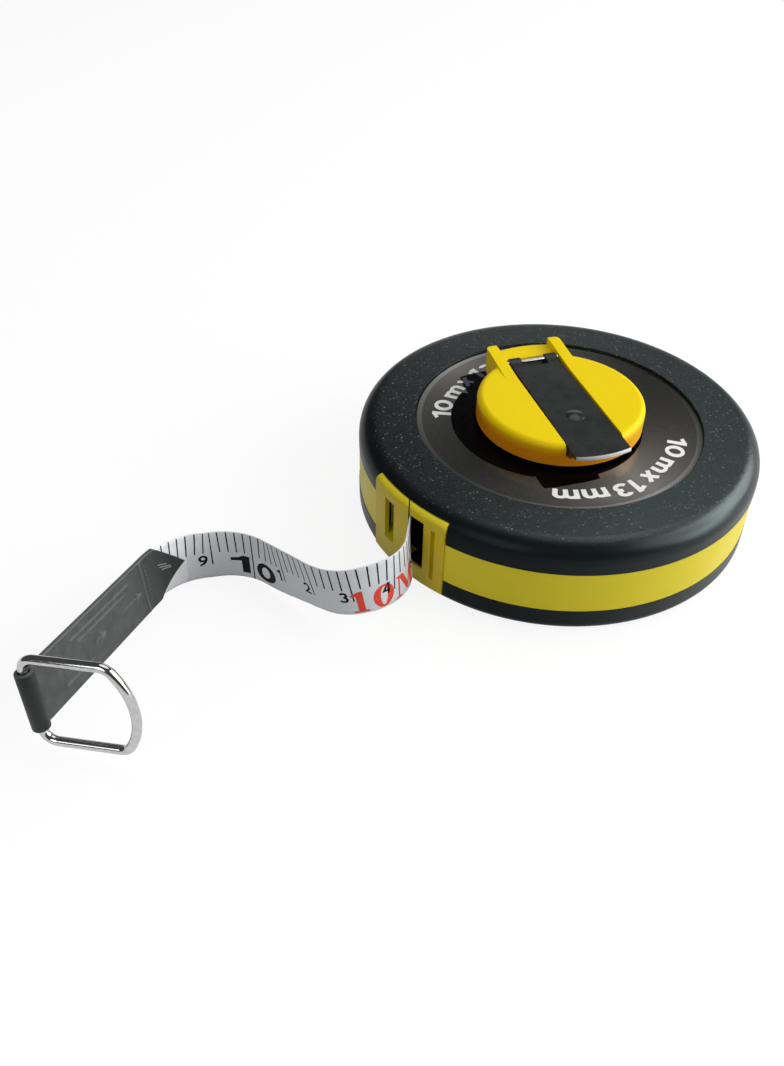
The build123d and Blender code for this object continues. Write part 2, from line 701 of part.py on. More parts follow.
with BuildPart() as crank_arm:
    # A flat bar that widens to its free end, which follows the disc's rim and stands out of it.
    with BuildSketch(turned(crank_azimuth, arm_low)):
        Circle(arm_reach)
        Polygon(
            (hinge_reach, arm_hinge_half_width),
            (-arm_reach, arm_tip_half_width),
            (-arm_reach, -arm_tip_half_width),
            (hinge_reach, -arm_hinge_half_width),
            align=None,
            mode=Mode.INTERSECT,
        )
        with Locations((hinge_reach, 0)):
            Rectangle(2 * arm_end_margin, 2 * arm_hinge_half_width)
    extrude(amount=knuckle_top - arm_low)
    # Above the bar only the knuckle over the pin is left, and the free end thins to a lip.
    with BuildSketch(upright(crank_azimuth)):
        with BuildLine():
            Polyline(
                (-2 * arm_reach, knuckle_top),
                (hinge_reach - hinge_pin_radius, knuckle_top),
                (hinge_reach - knuckle_slope, arm_high),
                (-2 * arm_reach, arm_high),
                (-2 * arm_reach, knuckle_top),
            )
        make_face()
        with BuildLine():
            Polyline(
                (-disc_radius, arm_low),
                (-disc_radius - lip_slope, arm_high - lip_thickness),
                (-2 * arm_reach, arm_high - lip_thickness),
                (-2 * arm_reach, arm_low),
                (-disc_radius, arm_low),
            )
        make_face()
    extrude(amount=2 * arm_tip_half_width, both=True, mode=Mode.SUBTRACT)
    # The hinged end is rounded so that it turns clear of the channel's floor.
    end_edges = crank_arm.edges().filter_by(crank_across).group_by(crank_along)[-1]
    fillet(end_edges.sort_by(Axis.Z)[0], arm_end_radius)
    end_edges = crank_arm.edges().filter_by(crank_across).group_by(crank_along)[-1]
    fillet(end_edges.sort_by(Axis.Z)[-1], arm_end_radius / 2)
    # The free end's upper edge is rounded down to a lip.
    bar_top = crank_arm.faces().filter_by(Axis.Z).group_by(Axis.Z)[-2][0]
    fillet(bar_top.edges().sort_by(crank_along)[0], arm_tip_radius)
    # The notch in the hinged end that bares the pin, and the holes for pin and rivet.
    with BuildSketch(turned(crank_azimuth, arm_low + notch_floor)):
        with Locations((hinge_reach - notch_margin, 0)):
            Rectangle(2 * disc_radius, 2 * notch_half_width, align=(Align.MIN, Align.CENTER))
    extrude(amount=arm_thickness, mode=Mode.SUBTRACT)
    with BuildSketch(upright(crank_azimuth)):
        with Locations((hinge_reach, hinge_height)):
            Circle(hinge_pin_radius + hinge_clearance)
    extrude(amount=2 * arm_tip_half_width, both=True, mode=Mode.SUBTRACT)
    with BuildSketch(turned(crank_azimuth, arm_low)):
        with Locations((knob_reach, 0)):
            Circle(spindle_radius + rivet_fit)
    extrude(amount=arm_thickness, mode=Mode.SUBTRACT)
crank_arm.part.label = "crank_arm"
export_step(crank_arm.part, "parts/crank_arm.step")

# ==== Finger knob on its rivet ====
knob_point = turned(crank_azimuth).from_local_coords((knob_reach, 0, 0))
knob_axis = Axis(knob_point, (0, 0, 1))
flange_low = knob_low + spindle_recess - flange_play - spindle_flange_thickness
with BuildPart() as knob_rivet:
    with BuildSketch(Plane(knob_point, upright(crank_azimuth).x_dir, upright(crank_azimuth).z_dir)):
        with BuildLine():
            Polyline(
                (0, arm_high + spindle_head_height),
                (0, flange_low),
                (spindle_flange_radius, flange_low),
                (spindle_flange_radius, flange_low + spindle_flange_thickness),
                (spindle_radius, flange_low + spindle_flange_thickness),
                (spindle_radius, arm_high),
                (spindle_head_radius, arm_high),
            )
            TangentArc(
                (0, arm_high + spindle_head_height),
                (spindle_head_radius, arm_high),
                tangent=(1, 0),
            )
        make_face()
    revolve(axis=knob_axis)
knob_rivet.part.label = "knob_rivet"
export_step(knob_rivet.part, "parts/knob_rivet.step")

with BuildPart() as finger_knob:
    with BuildSketch(Plane(knob_point).offset(knob_low)):
        Circle(knob_radius)
    extrude(amount=knob_length)
    chamfer(finger_knob.edges().filter_by(GeomType.CIRCLE), knob_edge)
    with BuildSketch(Plane(knob_point).offset(knob_low)):
        with PolarLocations(knob_radius, knob_flutes):
            Circle(flute_radius)
        Circle(spindle_radius + spindle_clearance)
    extrude(amount=knob_length, mode=Mode.SUBTRACT)
    with BuildSketch(Plane(knob_point).offset(knob_low)):
        Circle(spindle_flange_radius + pocket_clearance)
    extrude(amount=spindle_recess, mode=Mode.SUBTRACT)
finger_knob.part.label = "finger_knob"
export_step(finger_knob.part, "parts/finger_knob.step")

# ==== Free end of the tape ====
with BuildPart() as tape_blade:
    # The straight run inside the case, then the bent and leaning strip outside it.
    with BuildSketch(tape_at(0)):
        Rectangle(tape_width, tape_thickness)
    extrude(amount=lead_length)
    for plane in tape_planes(lead_length, tape_end):
        with BuildSketch(plane):
            Rectangle(tape_width, tape_thickness)
    loft()
tape_blade.part.label = "tape_blade"
export_step(tape_blade.part, "parts/tape_blade.step")

with BuildPart() as tab_slot_tool:
    for plane in tape_planes(lead_length, tape_end + slot_clearance):
        with BuildSketch(plane):
            Rectangle(tape_width + 2 * slot_clearance, tape_thickness + 2 * slot_clearance)
    loft()
tab_slot = tab_slot_tool.part

corner_plane = tape_at(tab_corner)
sleeve_plane = tape_at(sleeve_distance)
sleeve_axis_plane = Plane(sleeve_plane.origin, sleeve_plane.z_dir, sleeve_plane.x_dir)
with BuildPart() as end_tab:
    for plane in tape_planes(tab_corner - tab_point, sleeve_distance):
        with BuildSketch(plane):
            Rectangle(tab_width, tab_thickness)
    loft()
    # The strip wraps the ring's wire in a rolled sleeve.
    with BuildSketch(sleeve_axis_plane):
        Circle(sleeve_radius)
    extrude(amount=tab_width / 2, both=True)
    with BuildSketch(sleeve_axis_plane):
        Circle(wire_radius + wire_clearance)
    extrude(amount=tab_width, both=True, mode=Mode.SUBTRACT)
    # Both corners are cut away to leave the point that lies over the tape.
    with BuildSketch(Plane(corner_plane.origin, corner_plane.x_dir, corner_plane.y_dir)):
        with BuildLine():
            Polyline(
                (-tab_width, 0),
                (-tab_width / 2, 0),
                (0, tab_point),
                (tab_width / 2, 0),
                (tab_width, 0),
                (tab_width, 2 * tab_point),
                (-tab_width, 2 * tab_point),
                (-tab_width, 0),
            )
        make_face()
    extrude(amount=tab_width / 2, both=True, mode=Mode.SUBTRACT)
    add(tab_slot, mode=Mode.SUBTRACT)
end_tab.part.label = "end_tab"
export_step(end_tab.part, "parts/end_tab.step")

# The wire ring turns in the sleeve: a straight side, two legs and a bulged far side.
swing = radians(ring_open_angle)
ring_direction = sleeve_plane.z_dir * cos(swing)
ring_direction += sleeve_plane.z_dir.cross(sleeve_plane.x_dir) * sin(swing)
ring_normal = sleeve_plane.x_dir.cross(ring_direction)
ring_plane = Plane(sleeve_plane.origin, sleeve_plane.x_dir, ring_normal)
with BuildPart() as end_ring:
    with BuildSketch(ring_plane, mode=Mode.PRIVATE) as ring_outline:
        with BuildLine():
            Polyline(
                (-ring_width / 2, ring_leg),
                (-ring_width / 2, 0),
                (ring_width / 2, 0),
                (ring_width / 2, ring_leg),
            )
            ThreePointArc(
                (ring_width / 2, ring_leg),
                (0, ring_leg + ring_bulge),
                (-ring_width / 2, ring_leg),
            )
        make_face()
        fillet(ring_outline.vertices(), ring_corner)
    ring_path = ring_outline.sketch.wire()
    with BuildSketch(Plane(origin=ring_path @ 0, z_dir=ring_path % 0)):
        Circle(wire_radius)
    sweep(path=ring_path)
end_ring.part.label = "end_ring"
export_step(end_ring.part, "parts/end_ring.step")
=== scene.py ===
"""Looks for a closed-reel tape measure: grained case, yellow band and crank, printed tape."""

import logging
import math
from dataclasses import dataclass, field
from enum import Enum
from typing import Callable, Optional, Sequence

import bmesh
import bpy
from mathutils import Matrix, Vector


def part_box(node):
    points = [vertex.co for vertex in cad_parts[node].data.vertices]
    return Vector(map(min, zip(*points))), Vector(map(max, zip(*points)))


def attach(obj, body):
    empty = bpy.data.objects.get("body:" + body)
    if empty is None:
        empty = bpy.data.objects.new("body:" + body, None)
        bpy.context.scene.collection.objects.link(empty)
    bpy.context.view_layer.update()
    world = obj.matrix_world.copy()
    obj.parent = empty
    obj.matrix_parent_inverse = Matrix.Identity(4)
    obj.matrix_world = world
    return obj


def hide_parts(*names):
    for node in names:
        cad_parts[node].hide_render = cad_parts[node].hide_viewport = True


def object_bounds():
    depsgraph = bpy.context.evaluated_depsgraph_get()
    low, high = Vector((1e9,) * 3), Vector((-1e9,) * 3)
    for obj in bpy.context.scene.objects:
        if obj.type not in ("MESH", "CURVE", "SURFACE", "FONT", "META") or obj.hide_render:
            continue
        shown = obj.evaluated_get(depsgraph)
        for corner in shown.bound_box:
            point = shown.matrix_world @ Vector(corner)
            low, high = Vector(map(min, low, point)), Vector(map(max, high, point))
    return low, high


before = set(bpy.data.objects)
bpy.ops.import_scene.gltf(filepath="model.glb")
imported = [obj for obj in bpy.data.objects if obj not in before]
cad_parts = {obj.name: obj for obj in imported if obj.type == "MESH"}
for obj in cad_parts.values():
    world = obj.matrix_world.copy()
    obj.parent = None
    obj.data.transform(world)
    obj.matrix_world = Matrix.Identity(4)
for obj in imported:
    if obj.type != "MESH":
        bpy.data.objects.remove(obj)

LOG = logging.getLogger("tape_measure")
MM = 0.001
CAD_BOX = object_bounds()
PRINT_THICKNESS = 0.01
PRINT_LIFT = 0.02
STROKE_LIFT = 0.002
MAP = "strip"

Colour = tuple[float, float, float]
Spot = tuple[float, float]
Socket = bpy.types.NodeSocket
Form = bmesh.types.BMesh


def srgb(red: float, green: float, blue: float) -> Colour:
    """Turn a colour written in display values, 0 to 255, into linear light.

    Args:
        red: the red channel.
        green: the green channel.
        blue: the blue channel.

    Returns:
        The linear colour.
    """

    def linear(value: float) -> float:
        """One channel's linear light."""
        share = value / 255
        return share / 12.92 if share <= 0.04045 else ((share + 0.055) / 1.055) ** 2.4

    return linear(red), linear(green), linear(blue)


class Slot(Enum):
    """The record's material slots, which new pieces are passed."""

    CASE = "case_black"
    BAND = "band_yellow"
    LABEL = "label_foil"
    TAPE = "tape_white"
    CRANK = "crank_yellow"
    ARM = "arm_black"
    TAB = "tab_grey"
    CHROME = "chrome"


# ---------------------------------------------------------------- finishes


class Graph:
    """A short way to build a tree of shader nodes."""

    def __init__(self, tree: bpy.types.NodeTree) -> None:
        """Start from an empty tree."""
        self.tree = tree
        tree.nodes.clear()

    def link(self, source: Socket, target: Socket) -> None:
        """Join two sockets."""
        self.tree.links.new(source, target)

    def add(self, kind: str, **values: object) -> bpy.types.Node:
        """Add a node by its type, without the leading ShaderNode, and set its properties.

        Args:
            kind: the node's type.
            values: its properties by name.

        Returns:
            The node.
        """
        node = self.tree.nodes.new("ShaderNode" + kind)
        for key, value in values.items():
            setattr(node, key, value)
        return node

    def feed(self, target: Socket, value: object) -> None:
        """Set a socket from a number or colour, or link it from another socket.

        Args:
            target: the socket.
            value: the number, colour, vector or socket.
        """
        if isinstance(value, Socket):
            self.link(value, target)
        elif isinstance(value, tuple) and len(value) == 3 and target.type == "RGBA":
            target.default_value = (*value, 1.0)
        else:
            target.default_value = value

    def fed(self, node: bpy.types.Node, *values: object) -> bpy.types.Node:
        """The same node, with its first sockets fed in order.

        Args:
            node: the node.
            values: what its sockets take, in order.

        Returns:
            The node.
        """
        for socket, value in zip(node.inputs, values):
            self.feed(socket, value)
        return node

    def math(self, operation: str, *values: object) -> Socket:
        """A math node's result."""
        return self.fed(self.add("Math", operation=operation), *values).outputs[0]

    def times(self, product: object, *others: object) -> Socket:
        """The product of several values.

        Args:
            product: the first value.
            others: the values it is multiplied by.

        Returns:
            The product's socket.
        """
        for other in others:
            product = self.math("MULTIPLY", product, other)
        return product

    def spread(self, value: Socket, *span: object) -> Socket:
        """Map a value from one range to another: low, high, new low, new high."""
        return self.fed(self.add("MapRange", clamp=True), value, *span).outputs[0]


class Nodes(Graph):
    """One material's nodes: its patterns lead to its shader."""

    def __init__(self, name: str) -> None:
        """Start a material with a shader and an output.

        Args:
            name: the material's name.
        """
        self.material = bpy.data.materials.new(name)
        self.material.use_nodes = True
        super().__init__(self.material.node_tree)
        self.out = self.add("OutputMaterial")
        self.shader = self.add("BsdfPrincipled")
        self.link(self.shader.outputs["BSDF"], self.out.inputs["Surface"])

    def coords(self, kind: str = "Object") -> Socket:
        """The piece's own coordinates."""
        return self.add("TexCoord").outputs[kind]

    def split(self, kind: str = "Object") -> Sequence[Socket]:
        """The piece's own coordinates, one by one."""
        return self.fed(self.add("SeparateXYZ"), self.coords(kind)).outputs

    def pattern(self, kind: str, place: Socket, **values: object) -> bpy.types.Node:
        """A texture node at a place, with its sockets set by name.

        Args:
            kind: the node's type.
            place: what its Vector socket takes.
            values: its other sockets by name.

        Returns:
            The node.
        """
        node = self.add(kind)
        self.link(place, node.inputs["Vector"])
        for key, value in values.items():
            node.inputs[key].default_value = value
        return node

    def noise(self, scale: float, detail: float = 2.0, kind: str = "Object") -> Socket:
        """A noise pattern's value, with its scale in cells per metre or per UV unit."""
        place = self.coords(kind)
        return self.pattern("TexNoise", place, Scale=scale, Detail=detail).outputs["Fac"]

    def cloud(self, scale: float, detail: float, low: float, high: float) -> Socket:
        """A noise pattern spread from one value to another."""
        return self.spread(self.noise(scale, detail), 0.3, 0.7, low, high)

    def streaks(self, along: float, across: float, turn: float = 0.0) -> Socket:
        """Noise stretched over the piece's own map, with its cells along and across.

        Args:
            along: cells per UV unit along.
            across: cells per UV unit across.
            turn: how far the pattern is turned, in radians.

        Returns:
            The noise's value.
        """
        way, size = (0.0, 0.0, turn), (along, across, 1.0)
        place = self.pattern("Mapping", self.coords("UV"), Rotation=way, Scale=size)
        return self.pattern("TexNoise", place.outputs[0], Scale=1.0).outputs["Fac"]

    def outside(self, start: float, stop: float, full: float = 1.0) -> Socket:
        """A share that rises from 0 between two distances from the case's axis, in millimetres.

        Args:
            start: where the share starts.
            stop: where it is full.
            full: how high it gets.

        Returns:
            The share.
        """
        level = self.add("VectorMath", operation="MULTIPLY")
        self.fed(level, self.coords(), (1.0, 1.0, 0.0))
        reach = self.fed(self.add("VectorMath", operation="LENGTH"), level.outputs[0])
        return self.spread(reach.outputs["Value"], start * MM, stop * MM, 0.0, full)

    def beyond(
        self, azimuth: float, start: float, stop: float, low: float = 0.0, high: float = 1.0
    ) -> Socket:
        """A share that changes between two distances, in millimetres, towards an azimuth.

        Args:
            azimuth: the direction in degrees.
            start: where the change starts.
            stop: where it ends.
            low: the share before it.
            high: the share after it.

        Returns:
            The share.
        """
        way = math.radians(azimuth)
        node = self.add("VectorMath", operation="DOT_PRODUCT")
        self.fed(node, self.coords(), (math.cos(way), math.sin(way), 0.0))
        return self.spread(node.outputs["Value"], start * MM, stop * MM, low, high)

    def mix(self, share: object, first: object, second: object) -> Socket:
        """Mix two colours by a share.

        Args:
            share: how much of the second.
            first: the first colour.
            second: the second colour.

        Returns:
            The mixed colour.
        """
        node = self.add("Mix", data_type="RGBA", clamp_factor=True)
        for place, value in ((0, share), (6, first), (7, second)):
            self.feed(node.inputs[place], value)
        return node.outputs[2]

    def tint(self, share: Socket, colour: Colour) -> None:
        """Turn the colour that the shader has so far towards another."""
        plain = self.shader.inputs["Base Color"].links[0].from_socket
        self.set(Base_Color=self.mix(share, plain, colour))

    def bump(self, height: Socket, depth: float, strength: float = 1.0) -> None:
        """Raise the shader's surface by a height pattern of a depth in metres.

        Args:
            height: the pattern.
            depth: its depth.
            strength: how strongly it shows.
        """
        node = self.add("Bump")
        node.inputs["Strength"].default_value = strength
        node.inputs["Distance"].default_value = depth
        self.link(height, node.inputs["Height"])
        before = self.shader.inputs["Normal"].links
        if before:
            self.link(before[0].from_socket, node.inputs["Normal"])
        self.link(node.outputs["Normal"], self.shader.inputs["Normal"])

    def set(self, **values: object) -> None:
        """Set the shader's sockets by name, with spaces written as underscores."""
        for key, value in values.items():
            self.feed(self.shader.inputs[key.replace("_", " ")], value)


@dataclass(frozen=True)
class Finish:
    """What every finish has: a name and a way to build its material."""

    name: str

    def dress(self, nodes: Nodes) -> None:
        """Fill in the material's nodes."""

    def material(self) -> bpy.types.Material:
        """The finish's material, built the first time it is asked for.

        Returns:
            The material.
        """
        found = bpy.data.materials.get(self.name)
        if found is None:
            nodes = Nodes(self.name)
            self.dress(nodes)
            found = nodes.material
        return found


@dataclass(frozen=True)
class MouldedPlastic(Finish):
    """Moulded plastic: faint clouding and a fine skin, and a glow where it is thin."""

    colour: Colour
    worn: Colour
    roughness: float = 0.4
    skin_depth: float = 0.00001
    skin_scale: float = 5000.0
    shine: float = 0.3
    glow: float = 0.0
    glow_reach: Colour = (1.0, 0.4, 0.06)

    def dress(self, nodes: Nodes) -> None:
        """Colour by clouding, roughness by a finer noise, and a fine bump.

        Args:
            nodes: the material's nodes.
        """
        nodes.set(Specular_IOR_Level=self.shine, Subsurface_Weight=self.glow)
        nodes.set(Subsurface_Scale=0.002, Subsurface_Radius=self.glow_reach)
        nodes.set(Base_Color=nodes.mix(nodes.cloud(60.0, 4.0, 0.0, 1.0), self.colour, self.worn))
        nodes.set(Roughness=nodes.cloud(220.0, 5.0, self.roughness - 0.05, self.roughness + 0.06))
        nodes.bump(nodes.noise(self.skin_scale), self.skin_depth)


@dataclass(frozen=True)
class CrankPlastic(MouldedPlastic):
    """The crank's yellow, with painted shade that turns it orange low on its sides and higher on
    the lugs.
    """

    painted_shade_orange: Colour = (1.0, 0.4, 0.0)
    low: float = 27.4
    high: float = 30.2
    lugs_beyond: float = 21.4
    lugs_rise: float = 1.4

    def dress(self, nodes: Nodes) -> None:
        """Add the painted shade's orange to the plain plastic, weaker on one side.

        Args:
            nodes: the material's nodes.
        """
        super().dress(nodes)
        # painted shade: orange low on the sides and on the lugs' outer faces, fullest on the side
        # that faces away from the light
        lifted = nodes.outside(self.lugs_beyond - 0.1, self.lugs_beyond + 0.3, self.lugs_rise * MM)
        height = nodes.math("ADD", nodes.split()[2], lifted)
        share = nodes.spread(height, self.low * MM, self.high * MM, 1.0, 0.0)
        nodes.tint(nodes.times(share, nodes.beyond(-160.0, -12.0, 10.0, 0.2)), self.painted_shade_orange)


@dataclass(frozen=True)
class BandPlastic(MouldedPlastic):
    """The band's yellow, with painted shade in golden brown on the proud block round the mouth."""

    painted_shade_gold: Colour = (0.4, 0.2, 0.02)
    proud: float = 49.12
    strength: float = 0.32

    def dress(self, nodes: Nodes) -> None:
        """Add the painted shade to the plain plastic.

        Args:
            nodes: the material's nodes.
        """
        super().dress(nodes)
        # painted shade: the proud block round the mouth, on one side of the case, turns golden
        # brown as it does in shade
        there = nodes.outside(self.proud - 0.05, self.proud + 0.05, self.strength)
        nodes.tint(nodes.times(there, nodes.beyond(180.0, 42.0, 44.0)), self.painted_shade_gold)


@dataclass(frozen=True)
class ArmPlastic(MouldedPlastic):
    """The arm's black, with a painted highlight along the end of its lip."""

    bright: Colour = (0.5, 0.5, 0.5)
    way: float = -112.6
    end: float = 24.5

    def dress(self, nodes: Nodes) -> None:
        """Add the painted highlight along the lip's end to the plain plastic, brightest at one
        corner.

        Args:
            nodes: the material's nodes.
        """
        super().dress(nodes)
        # painted highlight: a pale line along the lip's end, where the edge would catch the light
        lip = nodes.outside(self.end - 0.3, self.end - 0.15)
        nodes.tint(nodes.times(lip, nodes.beyond(self.way + 90, -7.0, 8.0, 0.35)), self.bright)


@dataclass(frozen=True)
class GrainedPlastic(Finish):
    """The case's plastic: a spark-eroded grain, with painted glints as small pale sparks in its
    colour.

    Its held, worn and polished areas have an azimuth, and where they start and are full,
    in millimetres.
    """

    colour: Colour
    spark: Colour
    grain_scale: float = 1500.0
    spark_scale: float = 1400.0
    shine: float = 0.5
    rim_grain: float = 0.3
    rim: Spot = (44.6, 47.0)
    held: tuple[float, float, float] = (-140.0, 26.0, 52.0)
    worn: tuple[float, float, float] = (165.0, 8.0, 42.0)
    polished: tuple[float, float, float] = (-88.0, 2.0, 40.0)
    dulled: float = 0.3
    buffed: float = 2.3
    rim_roughness: float = 0.31
    flat_roughness: float = 0.38

    def dress(self, nodes: Nodes) -> None:
        """Grain and painted glints, as pale sparks, on the flat face, and a shine that handling has
        made uneven.

        Args:
            nodes: the material's nodes.
        """
        rim = nodes.outside(*self.rim)
        flat = nodes.math("SUBTRACT", 1.0, rim)
        # painted glints: scattered pale specks in the colour stand for light caught by the grain
        cells = nodes.pattern("TexVoronoi", nodes.coords(), Scale=self.spark_scale)
        near = nodes.spread(cells.outputs["Distance"], 0.10, 0.40, 1.0, 0.0)
        chance = nodes.fed(nodes.add("SeparateColor"), cells.outputs["Color"]).outputs[0]
        lit = nodes.math("POWER", nodes.spread(chance, 0.35, 1.0, 0.0, 0.85), 3.0)
        fine = nodes.spread(nodes.noise(self.grain_scale * 1.7, 3.0), 0.5, 0.8, 0.0, 0.10)
        nodes.set(Base_Color=nodes.mix(nodes.times(fine, flat), self.colour, self.spark))
        nodes.tint(nodes.times(near, lit, flat), self.spark)
        held = nodes.times(nodes.beyond(*self.held), rim)
        dull = nodes.spread(held, 0.0, 1.0, self.shine, self.shine * self.dulled)
        polished = nodes.times(nodes.beyond(*self.polished), flat)
        bright = nodes.spread(polished, 0.0, 1.0, 1.0, self.buffed)
        shine = nodes.times(dull, nodes.beyond(*self.worn, 1.0, self.dulled), bright)
        nodes.set(Specular_IOR_Level=shine, Specular_Tint=(0.78, 1.0, 1.0))
        rough = nodes.spread(flat, 0.0, 1.0, self.rim_roughness, self.flat_roughness)
        nodes.set(Roughness=rough)
        depth = nodes.spread(flat, 0.0, 1.0, self.rim_grain, 1.0)
        nodes.bump(nodes.times(nodes.noise(self.grain_scale, 3.0), depth), 0.00007)
        nodes.bump(nodes.noise(4000.0), 0.000006)


@dataclass(frozen=True)
class FoilLabel(Finish):
    """The label: a dark foil with two soft streaks that run out from the middle."""

    dark: Colour
    pale: Colour
    # edge: the colour of the painted highlight along the label's edge
    edge: Colour = (0.55, 0.55, 0.54)
    edge_radius: float = 33.4
    streak: float = 96.0
    fade: float = 33.0

    def dress(self, nodes: Nodes) -> None:
        """A gradient round the axis with a painted highlight along its edge, under a clear gloss.

        Args:
            nodes: the material's nodes.
        """
        x, y, _ = nodes.split()
        angle = nodes.math("ABSOLUTE", nodes.math("ARCTAN2", y, x))
        swing = nodes.math("ABSOLUTE", nodes.math("SUBTRACT", angle, math.radians(self.streak)))
        streak = nodes.math("EXPONENT", nodes.times(swing, -1 / math.radians(self.fade)))
        share = nodes.math("ADD", streak, nodes.cloud(900.0, 4.0, -0.02, 0.02))
        nodes.set(Base_Color=nodes.mix(share, self.dark, self.pale))
        # painted highlight: the label's edge is paler where the streaks reach it
        rim = nodes.outside(self.edge_radius, self.edge_radius + 0.3, 0.6)
        nodes.tint(nodes.times(rim, streak), self.edge)
        nodes.set(Metallic=0.25, Roughness=nodes.cloud(1200.0, 3.0, 0.20, 0.27))
        nodes.set(Coat_Weight=0.5, Coat_Roughness=0.08)
        nodes.bump(nodes.noise(2500.0, 3.0), 0.000004)


@dataclass(frozen=True)
class Ink(Finish):
    """A printed ink, a little uneven."""

    colour: Colour
    thin: Colour
    roughness: float = 0.4
    patch_scale: float = 1400.0
    shine: float = 0.5

    def dress(self, nodes: Nodes) -> None:
        """Mottle the colour slightly.

        Args:
            nodes: the material's nodes.
        """
        patches = nodes.spread(nodes.noise(self.patch_scale, 3.0), 0.45, 0.8, 0.0, 0.6)
        nodes.set(Base_Color=nodes.mix(patches, self.colour, self.thin))
        nodes.set(Specular_IOR_Level=self.shine)
        nodes.set(Roughness=nodes.cloud(700.0, 2.0, self.roughness - 0.04, self.roughness + 0.04))


@dataclass(frozen=True)
class LabelInk(Ink):
    """The label's white ink, with painted shadow where the crank's painted shadow crosses it."""

    painted_shadow_tint: Colour = (0.06, 0.06, 0.1)
    edges: tuple[Spot, ...] = ((-25.1, -17.74), (-102.0, -27.42), (90.0, 10.05))

    def dress(self, nodes: Nodes) -> None:
        """Add the dim corner, inside three straight edges, to the plain ink.

        Args:
            Add the painted shadow's corner, inside three straight edges, to the plain ink.
        """
        super().dress(nodes)
        # painted shadow: the ink is darkened inside the corner where the crank's shadow falls on it
        shares = [nodes.beyond(way, start - 0.02, start + 0.02) for way, start in self.edges]
        nodes.tint(nodes.times(*shares), self.painted_shadow_tint)


@dataclass(frozen=True)
class CoatedTape(Finish):
    """The tape: glass-fibre yarns under a smooth white coat, on the strip's own map."""

    colour: Colour
    shade: Colour
    film: Colour
    film_from: float = 1.052
    yarns: float = 26.0

    def dress(self, nodes: Nodes) -> None:
        """Faint lengthwise yarns, a slow change of tone, and a film over the end.

        Args:
            nodes: the material's nodes.
        """
        along, across, _ = nodes.split("UV")
        cloud = nodes.streaks(160.0, 40.0)
        tone = nodes.spread(cloud, 0.3, 0.75, 0.0, 0.5)
        nodes.set(Base_Color=nodes.mix(tone, self.colour, self.shade))
        covered = nodes.spread(along, self.film_from - 0.001, self.film_from + 0.001, 0.0, 1.0)
        nodes.tint(covered, self.film)
        nodes.bump(covered, 0.00006)
        nodes.set(Roughness=nodes.spread(cloud, 0.3, 0.7, 0.30, 0.42))
        nodes.set(Subsurface_Weight=0.08, Subsurface_Scale=0.0008)
        ridge = nodes.math("SINE", nodes.times(across, self.yarns * 2 * math.pi))
        nodes.bump(ridge, 0.000006, 0.5)


@dataclass(frozen=True)
class EmbossedTab(Finish):
    """The end tab: dark plastic with paler scuffs, painted highlights on its embossed marks and
    along its edges, and painted shade on its tip and sleeve.

    Its map runs in centimetres along and as a share across.
    """

    colour: Colour
    worn: Colour
    dark: Colour
    relief: str = "relief"
    tip: Spot = (10.9, 12.4)
    sleeve: Spot = (15.62, 15.68)

    def dress(self, nodes: Nodes) -> None:
        """Tone by tone: scuffs, painted shade on the tip and sleeve, and painted highlights on the
        marks and along the edges.

        Args:
            nodes: the material's nodes.
        """
        along, across, _ = nodes.split("UV")
        cloud = nodes.noise(5.0, 5.0, "UV")
        tone = nodes.spread(cloud, 0.35, 0.75, 0.0, 0.3)
        nodes.set(Base_Color=nodes.mix(tone, self.colour, self.worn))
        scuffs = nodes.spread(nodes.streaks(14.0, 60.0, 0.5), 0.66, 0.76, 0.0, 0.5)
        nodes.tint(scuffs, self.worn)
        # painted shade: the tip and the sleeve are darkened where they turn away from the light
        tip = nodes.spread(along, *self.tip, 0.85, 0.0)
        sleeve = nodes.spread(along, *self.sleeve, 0.0, 0.85)
        nodes.tint(nodes.math("MAXIMUM", tip, sleeve), self.dark)
        # painted highlight: the embossed marks are paler, as if their edges catch the light
        marks = nodes.add("Attribute", attribute_name=self.relief).outputs["Fac"]
        nodes.tint(nodes.spread(marks, 0.06, 0.2, 0.0, 0.75), self.worn)
        # painted highlight: a pale line along both long edges
        rims = nodes.math("ABSOLUTE", nodes.math("SUBTRACT", across, 0.5))
        nodes.tint(nodes.spread(rims, 0.478, 0.492, 0.0, 0.5), self.worn)
        nodes.set(Roughness=nodes.spread(cloud, 0.3, 0.7, 0.34, 0.5), Specular_IOR_Level=0.35)
        nodes.bump(nodes.noise(90.0, 3.0, "UV"), 0.00002)


@dataclass(frozen=True)
class Metal(Finish):
    """Bright metal with fine drawn or turned marks."""

    colour: Colour
    roughness: float = 0.12
    marks: float = 900.0
    dull: Colour = srgb(120, 122, 125)

    def dress(self, nodes: Nodes) -> None:
        """A metal with uneven polish.

        Args:
            nodes: the material's nodes.
        """
        polish = nodes.noise(self.marks, 4.0)
        share = nodes.spread(polish, 0.3, 0.7, 0.0, 0.25)
        nodes.set(Base_Color=nodes.mix(share, self.colour, self.dull), Metallic=1.0)
        rough = nodes.spread(polish, 0.3, 0.7, self.roughness, self.roughness + 0.1)
        nodes.set(Roughness=rough)
        nodes.bump(nodes.noise(self.marks * 3), 0.000003)


# the second colour gives the grain's paler tone and its painted glints
CASE_PLASTIC = GrainedPlastic("case_plastic", srgb(20, 25, 25), srgb(150, 164, 166))
# black for the painted shade inside the mouth
MOUTH_SHADE = MouldedPlastic(
    "mouth_shade_black", srgb(10, 9, 10), srgb(24, 20, 20), 0.6, skin_scale=3000.0, shine=0.1
)
# painted_shade_gold: the painted shade on the mouth block
BAND_PLASTIC = BandPlastic(
    "band_plastic", srgb(224, 206, 34), srgb(228, 211, 44), 0.36,
    skin_scale=3000.0, shine=0.25, glow=0.12, painted_shade_gold=srgb(176, 120, 30),
)
